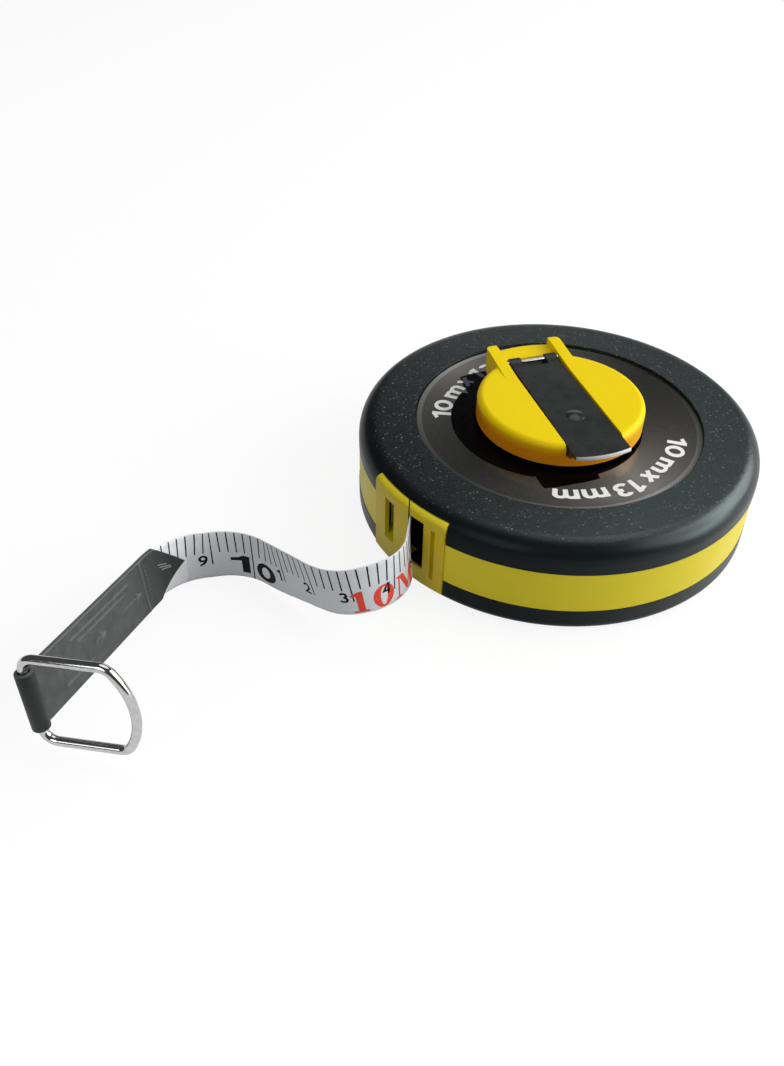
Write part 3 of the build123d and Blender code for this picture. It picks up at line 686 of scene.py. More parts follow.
# painted_shade_orange: the painted shade on the disc's sides and lugs
CRANK_PLASTIC = CrankPlastic(
    "crank_plastic", srgb(239, 209, 1), srgb(241, 212, 3), 0.36, 0.000004,
    skin_scale=3500.0, shine=0.12, glow=0.2, painted_shade_orange=srgb(224, 140, 20),
)
# bright: the painted highlight on the lip's end
ARM_PLASTIC = ArmPlastic(
    "arm_plastic", srgb(30, 33, 32), srgb(38, 41, 40), 0.26, 0.000008,
    skin_scale=1800.0, shine=0.55, bright=srgb(232, 234, 232),
)
LABEL_FOIL = FoilLabel("label_foil_print", srgb(10, 11, 9), srgb(134, 133, 129))
# the crank's painted shadow on the label, in gloss black
LABEL_SHADOW = Ink("label_shadow_ink", srgb(3, 3, 4), srgb(6, 6, 7), 0.25, shine=0.05)
LABEL_WHITE = LabelInk(
    "label_white", srgb(238, 239, 238), srgb(218, 220, 219), 0.3, painted_shadow_tint=srgb(72, 68, 92)
)
TAPE_COAT = CoatedTape("tape_coat", srgb(222, 226, 230), srgb(204, 209, 216), srgb(236, 239, 240))
COIL_WHITE = MouldedPlastic("coil_white", srgb(214, 218, 222), srgb(196, 200, 206), 0.45)
TAPE_BLACK = Ink("tape_black", srgb(16, 17, 22), srgb(34, 36, 42), 0.6, shine=0.1)
TAPE_RED = Ink("tape_red", srgb(226, 74, 56), srgb(236, 108, 84), 0.55, shine=0.2)
# worn gives the random tone, the scuffs and the painted highlights; dark gives the painted shade on
# the tip and sleeve
TAB_PLASTIC = EmbossedTab("tab_plastic", srgb(62, 66, 64), srgb(112, 116, 114), srgb(26, 29, 29))
SCUFF = Ink("tab_scuff", srgb(150, 155, 156), srgb(112, 117, 118), 0.5)
REEL_PLASTIC = MouldedPlastic("reel_plastic", srgb(70, 72, 74), srgb(80, 82, 84), 0.45)
NYLON = MouldedPlastic("washer_nylon", srgb(226, 224, 216), srgb(214, 212, 204), 0.45)
CHROME = Metal("ring_chrome", srgb(226, 227, 225), 0.06)
PIN_STEEL = Metal("pin_steel", srgb(200, 205, 208), 0.2)
SCREW_STEEL = Metal("screw_steel", srgb(186, 188, 190), 0.26)

# ---------------------------------------------------------------- shared ways of making


def new_piece(name: str, form: Form, finish: Finish) -> bpy.types.Object:
    """Turn a finished form into an object.

    Args:
        name: the piece's name.
        form: its mesh, in metres and in place; it is freed.
        finish: what it is made of.

    Returns:
        The new object at the origin.
    """
    mesh = bpy.data.meshes.new(name)
    form.to_mesh(mesh)
    form.free()
    mesh.materials.append(finish.material())
    piece = bpy.data.objects.new(name, mesh)
    bpy.context.scene.collection.objects.link(piece)
    return piece


def make_plain(piece: bpy.types.Object) -> None:
    """Replace a piece's live modifiers by the mesh they give.

    Args:
        piece: the piece.
    """
    bpy.context.view_layer.update()
    depsgraph = bpy.context.evaluated_depsgraph_get()
    mesh = bpy.data.meshes.new_from_object(piece.evaluated_get(depsgraph))
    piece.modifiers.clear()
    piece.data = mesh


def smooth(piece: bpy.types.Object, angle: float) -> None:
    """Shade a piece smooth, with edges sharper than an angle in degrees kept crisp."""
    piece.data.shade_smooth()
    piece.data.set_sharp_from_angle(angle=math.radians(angle))


def hand_over(piece: bpy.types.Object, body: str, slot: Slot, *nodes: str) -> None:
    """Tie a finished piece to its body, hide the nodes it stands for, and report it.

    Args:
        piece: the finished piece.
        body: the body it moves with.
        slot: the material slot it takes its finish from; not used.
        nodes: the solids it stands for, if any.
    """
    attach(piece, body)
    if nodes:
        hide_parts(*nodes)
    LOG.info("%s on %s: %d faces", piece.name, body, len(piece.data.polygons))


class RowTree:
    """A node tree that sets out equal bars or domes in a row, with its sizes as inputs."""

    KINDS = {"Count": "Int", "Pitch": "Float", "Width": "Float", "Length": "Float",
             "Thickness": "Float", "Material": "Material"}

    def __init__(self, name: str, domed: bool) -> None:
        """Build the tree.

        Args:
            name: the tree's name.
            domed: whether each item is a dome instead of a bar.
        """
        self.tree = bpy.data.node_groups.new(name, "GeometryNodeTree")
        face = self.tree.interface
        face.new_socket("Geometry", in_out="OUTPUT", socket_type="NodeSocketGeometry")
        self.sockets = {}
        for label, kind in self.KINDS.items():
            socket = face.new_socket(label, in_out="INPUT", socket_type="NodeSocket" + kind)
            self.sockets[label] = socket.identifier
        add, link = self.tree.nodes.new, self.tree.links.new
        given = add("NodeGroupInput").outputs
        step, size = add("ShaderNodeCombineXYZ"), add("ShaderNodeCombineXYZ")
        link(given["Pitch"], step.inputs[0])
        for axis, label in enumerate(("Width", "Length", "Thickness")):
            link(given[label], size.inputs[axis])
        line = add("GeometryNodeMeshLine")
        link(given["Count"], line.inputs["Count"])
        link(step.outputs[0], line.inputs["Offset"])
        put = add("GeometryNodeInstanceOnPoints")
        link(line.outputs["Mesh"], put.inputs["Points"])
        if domed:
            item = add("GeometryNodeMeshUVSphere")
            for label, value in (("Segments", 12), ("Rings", 6), ("Radius", 0.5)):
                item.inputs[label].default_value = value
            link(size.outputs[0], put.inputs["Scale"])
        else:
            item = add("GeometryNodeMeshCube")
            link(size.outputs[0], item.inputs["Size"])
        link(item.outputs["Mesh"], put.inputs["Instance"])
        real = add("GeometryNodeRealizeInstances")
        link(put.outputs["Instances"], real.inputs["Geometry"])
        dress = add("GeometryNodeSetMaterial")
        link(real.outputs["Geometry"], dress.inputs["Geometry"])
        link(given["Material"], dress.inputs["Material"])
        link(dress.outputs["Geometry"], add("NodeGroupOutput").inputs["Geometry"])

    def row(self, finish: Finish, **sizes: float) -> Form:
        """Make one row, starting at the origin and running along X.

        Args:
            finish: what the row is made of.
            sizes: the tree's inputs by name, in millimetres.

        Returns:
            The row as a form in millimetres.
        """
        carrier = bpy.data.objects.new("row", bpy.data.meshes.new("row"))
        bpy.context.scene.collection.objects.link(carrier)
        modifier = carrier.modifiers.new("row", "NODES")
        modifier.node_group = self.tree
        for label, value in sizes.items():
            modifier[self.sockets[label]] = value
        modifier[self.sockets["Material"]] = finish.material()
        make_plain(carrier)
        form = bmesh.new()
        form.from_mesh(carrier.data)
        bpy.data.objects.remove(carrier)
        return form


BARS = RowTree("tick_row", False)
DOMES = RowTree("bump_row", True)


def skin(
    form: Form,
    rows: Sequence[Sequence[bmesh.types.BMVert]],
    wraps: bool = False,
    capped: bool = True,
    chart: Optional[Callable[[int, int], Spot]] = None,
) -> Form:
    """Join equal rows of corners, each closed on itself, and turn the faces outwards.

    Args:
        form: the form that holds the corners.
        rows: the rows.
        wraps: whether the last row joins the first.
        capped: whether a skin that doesn't wrap gets a face at each end.
        chart: what gives a corner's place on the map from its row and its spot.

    Returns:
        The form.
    """
    count, sides = len(rows), len(rows[0])
    layer = form.loops.layers.uv.get(MAP)
    for row in range(count if wraps else count - 1):
        for spot in range(sides):
            corners = ((row, spot), (row, spot + 1), (row + 1, spot + 1), (row + 1, spot))
            face = form.faces.new([rows[r % count][s % sides] for r, s in corners])
            if chart:
                for loop, corner in zip(face.loops, corners):
                    loop[layer].uv = chart(*corner)
    if capped and not wraps:
        form.faces.new(rows[0])
        form.faces.new(rows[-1])
    bmesh.ops.recalc_face_normals(form, faces=form.faces)
    return form


def drawn(path: Sequence[Spot], weight: float, closed: bool = False, level: float = 0.0) -> Form:
    """One stroke of an even pen along a path, as a thin flat form in millimetres.

    Args:
        path: the middle of the stroke.
        weight: the pen's width.
        closed: whether the stroke ends where it starts.
        level: a small lift that keeps crossing strokes apart.

    Returns:
        The stroke, as thick as a print.
    """
    form = bmesh.new()
    spots = [Vector(spot) for spot in path]
    count, half = len(spots), PRINT_THICKNESS / 2
    corners = ((1, half), (-1, half), (-1, -half), (1, -half))
    rows = []
    for index, spot in enumerate(spots):
        near = [(index - 1, index), (index, (index + 1) % count)]
        if not closed:
            near = [pair for pair in near if pair[0] >= 0 and pair[1] > pair[0]]
        ways = [(spots[second] - spots[first]).normalized() for first, second in near]
        way = sum(ways, Vector((0.0, 0.0))).normalized()
        side = Vector((-way.y, way.x)) * weight / 2 / max(way.dot(ways[0]), 0.5)
        spread = [(*(spot + turn * side), level + lift) for turn, lift in corners]
        rows.append([form.verts.new(place) for place in spread])
    return skin(form, rows, wraps=closed)


def layered(*layers: tuple[Sequence[Spot], float]) -> tuple[Form, list[list[bmesh.types.BMVert]]]:
    """A new form with rows of corners, each an outline at a height."""
    form = bmesh.new()
    return form, [[form.verts.new((x, y, z)) for x, y in line] for line, z in layers]


def outlined(*outline: Spot) -> Form:
    """A thin flat form in millimetres inside a closed outline, as thick as a print."""
    half = PRINT_THICKNESS / 2
    return skin(*layered((outline, -half), (outline, half)))


def block(left: float, right: float, foot: float, top: float) -> Form:
    """A thin flat rectangle."""
    return outlined((left, foot), (right, foot), (right, top), (left, top))


def ringed(outer: Sequence[Spot], inner: Sequence[Spot]) -> Form:
    """A thin flat form between two closed outlines with equally many points.

    Args:
        outer: the outer outline.
        inner: the inner outline.

    Returns:
        The form in millimetres.
    """
    half = PRINT_THICKNESS / 2
    lines = (outer, half), (inner, half), (inner, -half), (outer, -half)
    return skin(*layered(*lines), wraps=True)


def joined(forms: Sequence[Form]) -> Form:
    """One form from several, which are freed.

    Args:
        forms: the forms, in order.

    Returns:
        The joined form.
    """
    whole = bmesh.new()
    for form in forms:
        mesh = bpy.data.meshes.new("part")
        form.to_mesh(mesh)
        form.free()
        whole.from_mesh(mesh)
        bpy.data.meshes.remove(mesh)
    return whole


def shifted(form: Form, x: float = 0.0, y: float = 0.0, z: float = 0.0) -> Form:
    """The same form, moved."""
    bmesh.ops.translate(form, verts=form.verts, vec=(x, y, z))
    return form


def widened(form: Form, share: float, start: float = 0.0) -> Form:
    """The same form, stretched along X from a start that moves to the origin.

    Args:
        form: the form.
        share: how much wider it gets.
        start: the X that moves to the origin.

    Returns:
        The form.
    """
    for vert in form.verts:
        vert.co.x = (vert.co.x - start) * share
    return form


def span(form: Form) -> Spot:
    """A form's lowest and highest X."""
    values = [vert.co.x for vert in form.verts]
    return min(values), max(values)


def sliced(form: Form, step: float) -> Form:
    """The same flat form, cut across X at each whole step so that it can bend.

    Args:
        form: a flat form in millimetres.
        step: the spacing of the cuts.

    Returns:
        The form.
    """
    low, high = span(form)
    place = math.ceil(low / step) * step
    while place < high:
        everything = [*form.verts, *form.edges, *form.faces]
        bmesh.ops.bisect_plane(form, geom=everything, plane_co=(place, 0, 0), plane_no=(1, 0, 0))
        place += step
    return form


def mapped(form: Form, place: Callable[[Vector], Vector]) -> Form:
    """The same form in metres, with each point moved by a rule and its normals recalculated.

    A form as thin as a print can come out of this inside out: one of the label's two size
    texts does, and some of the tape's lines and figures. Solid forms come out right.

    Args:
        form: a form in millimetres.
        place: the rule, from a point in millimetres to its place in metres.

    Returns:
        The form.
    """
    for vert in form.verts:
        vert.co = place(vert.co)
    bmesh.ops.recalc_face_normals(form, faces=form.faces)
    return form


@dataclass(frozen=True)
class Letters:
    """A plain upright face, drawn with an even pen: its sizes are in millimetres."""

    height: float
    weight: float
    gap: float
    stretch: float = 1.0
    widths: tuple[tuple[str, float], ...] = (
        ("0", 0.725), ("1", 0.40), ("2", 0.64), ("3", 0.66), ("4", 0.70), ("5", 0.64), ("9", 0.66),
        ("m", 0.98), ("x", 0.63), (" ", 0.03),
    )

    def arc(
        self, x: float, y: float, wide: float, tall: float, start: float, stop: float
    ) -> list[Spot]:
        """Points on an arc of an ellipse round a middle, between two angles in degrees.

        Args:
            x: the middle's X.
            y: the middle's Y.
            wide: half the ellipse's width.
            tall: half its height.
            start: the first angle.
            stop: the last angle.

        Returns:
            The points in order.
        """
        steps = max(4, round(abs(stop - start) / 12))
        turns = [math.radians(start + (stop - start) * index / steps) for index in range(steps + 1)]
        return [(x + wide * math.cos(turn), y + tall * math.sin(turn)) for turn in turns]

    def strokes(self, letter: str, w: float) -> list[list[Spot]]:
        """The pen's paths for one letter of a width; a path that meets its start is closed.

        Args:
            letter: the letter.
            w: its width.

        Returns:
            The paths, none for a space.
        """
        h, p, arc = self.height, self.weight / 2, self.arc
        mid, low = w / 2, 0.72 * h
        if letter == "0":
            return [arc(mid, h / 2, mid - p, h / 2 - p, 0, 360)]
        if letter == "1":
            return [[(w - p, 0), (w - p, h)], [(0.1 * p, 0.72 * h), (w - 1.2 * p, h - 1.1 * p)]]
        if letter == "2":
            top = arc(mid, h - p - 0.27 * h, mid - p, 0.27 * h, 165, -35)
            return [top + [(1.3 * p, p), (w, p)]]
        if letter == "3":
            top = arc(mid, 0.75 * h - p / 2, mid - 1.4 * p, 0.25 * h - p / 2, 155, -90)
            return [top, arc(mid, 0.25 * h + p / 2, mid - p, 0.25 * h - p / 2, 90, -155)]
        if letter == "4":
            return [[(0.62 * w, h), (p, 0.3 * h), (w, 0.3 * h)], [(0.7 * w, 0), (0.7 * w, h)]]
        if letter == "5":
            bowl = arc(mid, 0.31 * h, mid - p, 0.31 * h - p, 135, -155)
            return [[(0.95 * w, h - p), (0.2 * w, h - p), (0.16 * w, 0.5 * h)], bowl]
        if letter == "9":
            loop = arc(mid, 0.68 * h, mid - p, 0.32 * h - p, 0, 360)
            return [loop, arc(0.2 * w, 0.68 * h, 0.8 * w - p, 0.68 * h - p, 0, -90)]
        if letter == "m":
            half = (mid - p) / 2
            arches = [
                arc(start + half, low - p - half, half, half, 180, 0) + [(start + 2 * half, 0)]
                for start in (p, mid)
            ]
            return [[(p, 0), (p, low)], *arches]
        if letter == "x":
            return [[(p, 0), (w - p, low)], [(p, low), (w - p, 0)]]
        return []

    def form(self, text: str) -> Form:
        """A line of letters, with its baseline on X and its start at the origin.

        Args:
            text: the letters.

        Returns:
            The form in millimetres.
        """
        forms, place = [], 0.0
        for letter in text:
            width = dict(self.widths)[letter] * self.height
            for level, path in enumerate(self.strokes(letter, width)):
                closed = len(path) > 8 and math.dist(path[0], path[-1]) < 1e-6
                path, lift = path[:-1] if closed else path, STROKE_LIFT * level
                forms.append(shifted(drawn(path, self.weight, closed, lift), place))
            place += width + self.gap
        return widened(joined(forms), self.stretch)


@dataclass(frozen=True)
class Carried:
    """A hard piece of the fixed frame, given softened edges and its finish.

    The copy is merged, its edges are rounded by a small width, and it stands for the node.
    """

    node: str
    body: str
    slot: Slot
    finish: Finish
    edge: float = 0.15
    sharp: float = 32.0

    def build(self) -> None:
        """Make the softened copy."""
        form = bmesh.new()
        form.from_mesh(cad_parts[self.node].data)
        bmesh.ops.remove_doubles(form, verts=form.verts, dist=2e-6)
        flat = math.radians(0.2)
        bmesh.ops.dissolve_limit(form, angle_limit=flat, verts=form.verts, edges=form.edges)
        piece = new_piece("looks_" + self.node, form, self.finish)
        if self.edge:
            soften = piece.modifiers.new("edge", "BEVEL")
            soften.width = self.edge * MM
            soften.segments = 2
            soften.limit_method = "ANGLE"
            soften.angle_limit = math.radians(self.sharp)
            soften.use_clamp_overlap = True
            make_plain(piece)
        smooth(piece, self.sharp)
        if self.edge:
            piece.modifiers.new("normals", "WEIGHTED_NORMAL").keep_sharp = True
            make_plain(piece)
        hand_over(piece, self.body, self.slot, self.node)


@dataclass
class Assembly:
    """A sub-assembly whose pieces are all carried over from the fixed frame."""

    pieces: tuple[Carried, ...] = ()

    def build(self) -> None:
        """Make the pieces."""
        for piece in self.pieces:
            piece.build()


# ---------------------------------------------------------------- the tape's line


@dataclass(frozen=True)
class Leg:
    """One leg of the free tape: its size in millimetres, its turn, and where it ends."""

    size: float
    turn: float
    height: float
    lean: float

    @property
    def length(self) -> float:
        """The leg's length: a run's own, or a bend's from its radius and turn."""
        return self.size * (math.radians(abs(self.turn)) if self.turn else 1.0)


@dataclass(frozen=True)
class Station:
    """The tape at one distance: its middle and the directions across and along it."""

    middle: Vector
    across: Vector
    along: Vector

    @property
    def face(self) -> Vector:
        """The direction that the printed face looks in."""
        return self.across.cross(self.along).normalized()


@dataclass
class TapeLine:
    """The line that the tape follows from its coil, out of the mouth, to the tab's sleeve.

    Every distance along it is in millimetres from where the tape leaves its coil.
    """

    heading: float = -131.2
    height: float = 13.4
    lead_radius: float = 35.7
    case_radius: float = 49.0
    width: float = 13.0
    thickness: float = 0.35
    step: float = 4.0
    legs: tuple[Leg, ...] = (
        Leg(6.4, 0.0, 13.8, -6.0),
        Leg(12.2, -66.85, 14.2, -5.0),
        Leg(12.2, -66.85, 11.5, 6.5),
        Leg(15.1, 0.0, 7.4, -1.0),
        Leg(16.1, 57.15, 6.6, -4.7),
        Leg(16.1, 57.15, 8.2, -6.2),
        Leg(41.8, 0.0, 13.3, -8.1),
    )
    stations: list[tuple[float, Station]] = field(default_factory=list)

    def __post_init__(self) -> None:
        """Work out the lead run and the stations that shape the free tape."""
        self.lead = math.sqrt(self.case_radius**2 - self.lead_radius**2)
        self.legs = (Leg(self.lead, 0.0, self.height, 0.0), *self.legs)
        self.end = sum(leg.length for leg in self.legs)
        first = int(self.lead / self.step + 1.3)
        last = int(self.end / self.step - 0.3)
        places = [self.lead, *(self.step * count for count in range(first, last + 1)), self.end]
        self.stations = [(place, self.measured(place)) for place in places]

    def measured(self, distance: float) -> Station:
        """The station at a distance, straight from the legs.

        Args:
            distance: the distance.

        Returns:
            The station in millimetres.
        """
        heading, height, lean, climb = self.heading, self.height, 0.0, 0.0
        x = self.lead_radius * math.sin(math.radians(heading))
        y = -self.lead_radius * math.cos(math.radians(heading))
        for leg in self.legs:
            share = min(distance / leg.length, 1.0)
            turn = leg.turn * share
            chord = leg.size * share
            if leg.turn:
                chord = 2 * leg.size * math.sin(math.radians(abs(turn)) / 2)
            x += chord * math.cos(math.radians(heading + turn / 2))
            y += chord * math.sin(math.radians(heading + turn / 2))
            heading += turn
            climb = (leg.height - height) / leg.length
            height += (leg.height - height) * share
            lean += (leg.lean - lean) * share
            if distance <= leg.length:
                break
            distance -= leg.length
        level, way, tilt = math.cos(climb), math.radians(heading), math.radians(lean)
        along = Vector((level * math.cos(way), level * math.sin(way), math.sin(climb)))
        left = Vector((-math.sin(way), math.cos(way), 0.0))
        across = along.cross(left) * math.cos(tilt) + left * math.sin(tilt)
        return Station(Vector((x, y, height)), across, along)

    def slope(self, mark: int) -> Vector:
        """The smooth line's direction and pace at one of the shaping stations.

        Args:
            mark: the shaping station's place in the list.

        Returns:
            The slope.
        """
        if mark in (0, len(self.stations) - 1):
            return self.stations[mark][1].along
        (before, one), (after, two) = self.stations[mark - 1], self.stations[mark + 1]
        return (two.middle - one.middle) / (after - before)

    def at(self, distance: float) -> Station:
        """The station at a distance, on the smooth line through the shaping stations.

        Args:
            distance: the distance.

        Returns:
            The station in millimetres.
        """
        if distance <= self.lead:
            return self.measured(distance)
        marks = self.stations
        index = max(i for i in range(len(marks) - 1) if marks[i][0] <= distance)
        (start, first), (stop, second) = marks[index], marks[index + 1]
        gap = stop - start
        t = (distance - start) / gap
        m0, m1 = self.slope(index) * gap, self.slope(index + 1) * gap
        p0, p1 = first.middle, second.middle
        middle = p0 * (2 * t**3 - 3 * t**2 + 1) + m0 * (t**3 - 2 * t**2 + t)
        middle += p1 * (3 * t**2 - 2 * t**3) + m1 * (t**3 - t**2)
        along = p0 * (6 * t**2 - 6 * t) + m0 * (3 * t**2 - 4 * t + 1)
        along += p1 * (6 * t - 6 * t**2) + m1 * (3 * t**2 - 2 * t)
        along.normalize()
        across = first.across.lerp(second.across, t * t * (3 - 2 * t))
        across = (across - along * across.dot(along)).normalized()
        return Station(middle, across, along)

    def point(self, distance: float, sideways: float, lift: float) -> Vector:
        """A point in metres, by its distance, its offset across, and off the printed face."""
        here = self.at(distance)
        return (here.middle + here.across * sideways + here.face * lift) * MM


# ---------------------------------------------------------------- sub-assemblies


@dataclass
class Tape:
    """The printed strip, with its lines, its numbers and the mark of its length."""

    line: TapeLine
    end: float = 124.65
    edge: float = 0.1
    step: float = 1.0
    scale_at_mouth: float = 15.56
    margin: float = 0.1
    stroke: float = 0.3
    short_line: float = 5.7
    long_line: float = 9.0
    small_digit: float = 2.95
    big_digit: float = 4.9
    mark_height: float = 6.0
    mark_stretch: float = 1.15

    def strip(self) -> bpy.types.Object:
        """The strip itself, closed, with its own map along and across.

        Returns:
            The finished piece.
        """
        half, thin, edge = self.line.width / 2, self.line.thickness / 2, self.edge
        across = [(half - edge) * (index / 7 - 1) for index in range(15)]
        section = [(-half, -thin + edge), *((x, -thin) for x in across), (half, -thin + edge)]
        section += [(-x, -z) for x, z in section]
        count = math.ceil(self.end / self.step)
        places = [self.end * index / count for index in range(count + 1)]

        def chart(row: int, spot: int) -> Spot:
            """A corner's place on the map: decimetres along, and a share across."""
            return places[row] / 100, section[spot % len(section)][0] / (2 * half) + 0.5

        form = bmesh.new()
        form.loops.layers.uv.new(MAP)
        rows = [[form.verts.new(self.line.point(d, x, z)) for x, z in section] for d in places]
        piece = new_piece("tape_strip", skin(form, rows, chart=chart), TAPE_COAT)
        smooth(piece, 50)
        return piece

    def printed(self, form: Form, scale: float, cut: float = 0.5) -> Form:
        """Lay a flat form on the printed face, reading towards the mouth.

        Args:
            form: a flat form in millimetres, with Y measured up from the tape's middle.
            scale: the reading in centimetres at which its X starts.
            cut: the spacing of cuts that let it bend, or 0 for none.

        Returns:
            The form in place, in metres.
        """
        if cut:
            sliced(form, cut)
        start = self.line.lead + (self.scale_at_mouth - scale) * 10
        lift = self.line.thickness / 2 + PRINT_LIFT
        return mapped(form, lambda at: self.line.point(start - at.x, at.y, lift + at.z))

    def lines(self) -> Form:
        """The lines: short ones each 2 mm, longer ones each centimetre, and a full one at 10.

        Returns:
            The form in place, in metres.
        """
        top, rows = self.line.width / 2 - self.margin, []
        for first, last, pitch, length in (
            (7.6, 16.8, 2.0, self.short_line),
            (9.0, 16.0, 10.0, self.long_line),
            (10.0, 10.0, 10.0, self.line.width - 2 * self.margin),
        ):
            count = round((last - first) * 10 / pitch) + 1
            size = {"Width": self.stroke, "Length": length, "Thickness": PRINT_THICKNESS}
            row = BARS.row(TAPE_BLACK, Count=count, Pitch=pitch, **size)
            rows.append(self.printed(shifted(row, 0.0, top - length / 2), first, 0.0))
        return joined(rows)

    def nought(self, middle: float, tall: float, hole: Spot) -> Form:
        """A tall narrow nought, from its middle, its height and its hole's half sizes.

        Args:
            middle: the X of its middle.
            tall: its height.
            hole: half its hole's width and height.

        Returns:
            The flat form in millimetres.
        """
        count = 48
        turns = [2 * math.pi * index / count for index in range(count)]
        return ringed(*(
            [(middle + wide * math.cos(t), tall / 2 + high * math.sin(t)) for t in turns]
            for wide, high in ((2.7, tall / 2 + 0.1), hole)
        ))

    def numbers(self) -> Form:
        """The small figures beside the centimetre lines and the large 10 across its line.

        Returns:
            The form in place, in metres.
        """
        forms = []
        foot = self.line.width / 2 - self.margin - self.long_line
        for scale, figure in ((9, "9"), (11, "1"), (12, "2"), (13, "3"), (14, "4"), (15, "5")):
            letters = Letters(height=self.small_digit, weight=0.53, gap=0.0, stretch=1.1)
            form = letters.form(figure)
            forms.append(self.printed(shifted(form, -1.0 - span(form)[1], foot - 0.2), scale))
        tall = self.big_digit
        flag = ((-2.7, tall), (-3.7, 4.3), (-5.7, 4.1), (-5.7, 3.25), (-3.0, 3.4))
        one = outlined((-3.0, 0), (-0.95, 0), (-0.95, tall), *flag)
        nought = self.nought(3.7, tall, (1.15, tall / 2 - 0.9))
        forms.append(self.printed(shifted(one, 0.0, -5.0), 10.0))
        forms.append(self.printed(shifted(nought, 0.0, -5.4), 10.0))
        return joined(forms)

    def length_mark(self) -> Form:
        """The tape's length in metres, in a bold face with serifs.

        Returns:
            The form in place, in metres.
        """
        tall = self.mark_height
        one = [
            outlined((1.3, 0), (2.9, 0), (2.9, tall), (2.3, tall), (1.3, 5.3)),
            block(0.3, 3.9, 0, 0.5),
            outlined((0.2, 4.7), (1.3, 4.75), (1.3, 5.3), (2.3, tall), (1.9, tall), (0.2, 5.1)),
        ]
        nought = [self.nought(2.7, tall, (0.95, tall / 2 - 0.45))]
        letter = [
            block(0.75, 1.15, 0, tall),
            block(4.9, 6.2, 0, tall),
            outlined((0.9, tall), (2.2, tall), (4.2, 1.4), (3.5, 0.3)),
            outlined((3.5, 0.3), (3.9, 0.6), (5.4, tall), (4.9, tall)),
            block(0.2, 1.8, 0, 0.4),
            block(4.2, 6.9, 0, 0.4),
            block(0.2, 1.4, tall - 0.4, tall),
            block(5.4, 6.9, tall - 0.4, tall),
        ]
        forms = []
        for shapes, stretch, scale in (
            (one, 1.0, 12.92), (nought, 1.0, 13.44), (letter, self.mark_stretch, 14.03)
        ):
            for level, shape in enumerate(shapes):
                shifted(widened(shape, stretch), 0.0, -tall, STROKE_LIFT * level)
            forms.append(self.printed(joined(shapes), scale))
        return joined(forms)

    def build(self) -> None:
        """Make the strip and its prints."""
        hand_over(self.strip(), "tape", Slot.TAPE, "tape_blade")
        black = new_piece("tape_figures", joined([self.lines(), self.numbers()]), TAPE_BLACK)
        hand_over(black, "tape", Slot.TAPE)
        hand_over(new_piece("tape_length_mark", self.length_mark(), TAPE_RED), "tape", Slot.TAPE)


